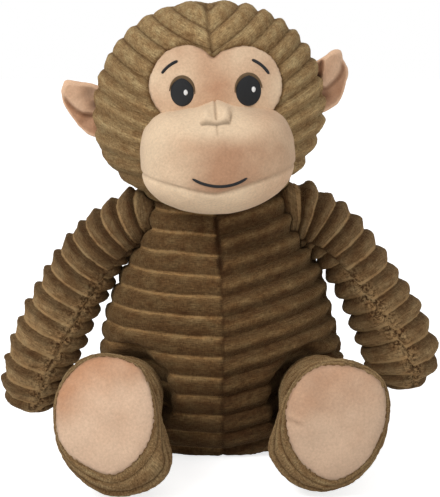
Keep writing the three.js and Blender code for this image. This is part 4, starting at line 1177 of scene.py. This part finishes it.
ear_pile = short_pile("ear_pile", tint("#d6b091"), tint("#a87655"))
for label in ("left", "right"):
    leaf_nodes = [frame["nodes"][f"ear_{leaf}_{label}"] for leaf in ("front", "back")]
    leaves = np.concatenate([read_points(leaf) for leaf in leaf_nodes])
    flat = np.stack([np.ones(len(leaves)), leaves[:, 0], leaves[:, 2]], axis=1)
    plane = np.linalg.lstsq(flat, leaves[:, 1], rcond=None)[0]
    outline = np.array(EAR_OUTLINES[label])
    middle = (outline.min(axis=0) + outline.max(axis=0)) / 2 * MM
    ear = unit_ball(f"ear_cover_{label}", 128, 72)
    ball = read_points(ear)
    reach = np.linalg.norm(ball[:, :2], axis=1)
    out = reach_round(outline, middle, np.arctan2(ball[:, 1], ball[:, 0]))
    spot = middle + ball[:, :2] * out[:, None]
    lobe_gap = outside(spot, closed_line(EAR_LOBES[label]) * MM)
    lobe = step(-lobe_gap, 0, 2.2 * MM)
    crease = hill(lobe_gap - 0.6 * MM, 1.2 * MM)
    sunk, dark = np.zeros(len(spot)), np.zeros(len(spot))
    for hollow_x, hollow_z, size, deep, shade in EAR_HOLLOWS[label]:
        near = hill(np.hypot(spot[:, 0] - hollow_x * MM, spot[:, 1] - hollow_z * MM), size * MM)
        sunk, dark = sunk + deep * MM * near, np.maximum(dark, shade * near)
    facing = ball[:, 2] < 0
    front = facing * step(1 - reach, 0, 0.15)
    thick = EAR_THICK * np.sign(ball[:, 2]) * (1 - np.minimum(reach, 1) ** 4) ** 0.5
    rise = front * (LOBE_RISE * lobe - sunk - EAR_CREASE * crease) + EAR_HEM * hill(1 - reach, 0.12) * facing
    y = plane[0] + plane[1] * spot[:, 0] + plane[2] * spot[:, 1] + thick - rise
    points = np.stack([spot[:, 0], y, spot[:, 1]], axis=1)
    move_points(ear, points + 0.2 * MM * rough(points, 3 * MM, 15)[:, None])
    shape = bmesh.new()
    shape.from_mesh(ear.data)
    bmesh.ops.recalc_face_normals(shape, faces=shape.faces)
    shape.to_mesh(ear.data)
    shape.free()
    ear.data.shade_smooth()
    # Painted shade in the hollows and the crease and a painted highlight on the rim; the lobe and the rim are
    # also painted paler, as painted light, over a random unevenness.
    rim = step(reach, 0.82, 0.97)
    shadow = (1 - front * dark) * (1 - 0.32 * front * crease) * (1 + 0.22 * rim)
    brushed = 0.62 - 0.5 * lobe - 0.6 * rim + 0.25 * rough(points, 9 * MM, 8)
    keep_numbers(ear, brushed=np.clip(brushed, 0, 1), shadow=shadow)
    ear.data.materials.append(ear_pile)
    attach(ear, "head")
    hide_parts(f"ear_front_{label}", f"ear_back_{label}")

# Stuffing and grain pouch
# Loose white fibre fills every cover, and a cotton pouch of grain sits in the middle of the body.
# The fibre stands in from the covers by a few millimetres, so it never shows through them.


def filling(name, colour, size, grain):
    """What lies inside: lumps of one tone, with a finer pattern over them."""
    material, maths, shader = new_material(name)
    where = maths.out("ShaderNodeTexCoord", "Object")
    lump, fine = maths.noise(where, size, 3.0, 0.6), maths.noise(where, grain, 2.0, 0.5)
    scaled_colour(shader, tuple(colour), lump.swing(0.5) * fine.swing(0.4))
    bumped(shader, lump + fine, strength=0.6, distance=1 * MM)
    return material


INNER_PIECES = [
    ("torso_fibre_front", "torso", "fibre"), ("torso_fibre_back", "torso", "fibre"),
    ("head_fibre", "head", "fibre"),
    ("arm_fibre_left", "arm_left", "fibre"), ("arm_fibre_right", "arm_right", "fibre"),
    ("leg_fibre_left", "leg_left", "fibre"), ("leg_fibre_right", "leg_right", "fibre"),
    ("grain_pouch_front", "torso", "cotton"), ("grain_pouch_back", "torso", "cotton"),
    ("grain_fill", "torso", "grain"),
]
FIBRE_SINK = {"head": 7 * MM, "torso": 3.5 * MM}
ARM_FIBRE_SINK = 1.5 * MM
LEG_FIBRE_SINK = 5.5 * MM
FIBRE_LUMPS = 0.6 * MM
INNER_LOOKS = {
    "fibre": filling("fibre_fill", tint("#ede8db"), 90.0, 900.0),
    "cotton": filling("cotton_cloth", tint("#d9ccb0"), 60.0, 1600.0),
    "grain": filling("grain_heap", tint("#b39455"), 220.0, 500.0),
}
for node, body, slot in INNER_PIECES:
    if node.startswith("leg"):
        inside = bpy.data.objects[node.replace("fibre", "stuffing")]
        sink = LEG_FIBRE_SINK
    else:
        inside = gathered(node.replace("fibre", "stuffing") + "_piece", node)
        applied(inside, "REMESH", mode="VOXEL", voxel_size=2.5 * MM if slot == "cotton" else 4 * MM)
        applied(inside, "SMOOTH", factor=0.5, iterations=2 if slot == "cotton" else 5)
        sink = FIBRE_SINK.get(body, ARM_FIBRE_SINK) if slot == "fibre" else 0
    points, normals = read_points(inside), read_points(inside, "normal")
    lumps = FIBRE_LUMPS * rough(points, 9 * MM, 20) if slot == "fibre" else np.zeros(len(points))
    move_points(inside, points - normals * (sink + lumps)[:, None])
    inside.data.shade_smooth()
    inside.data.materials.clear()
    inside.data.materials.append(INNER_LOOKS[slot])
    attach(inside, body)
    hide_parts(node)
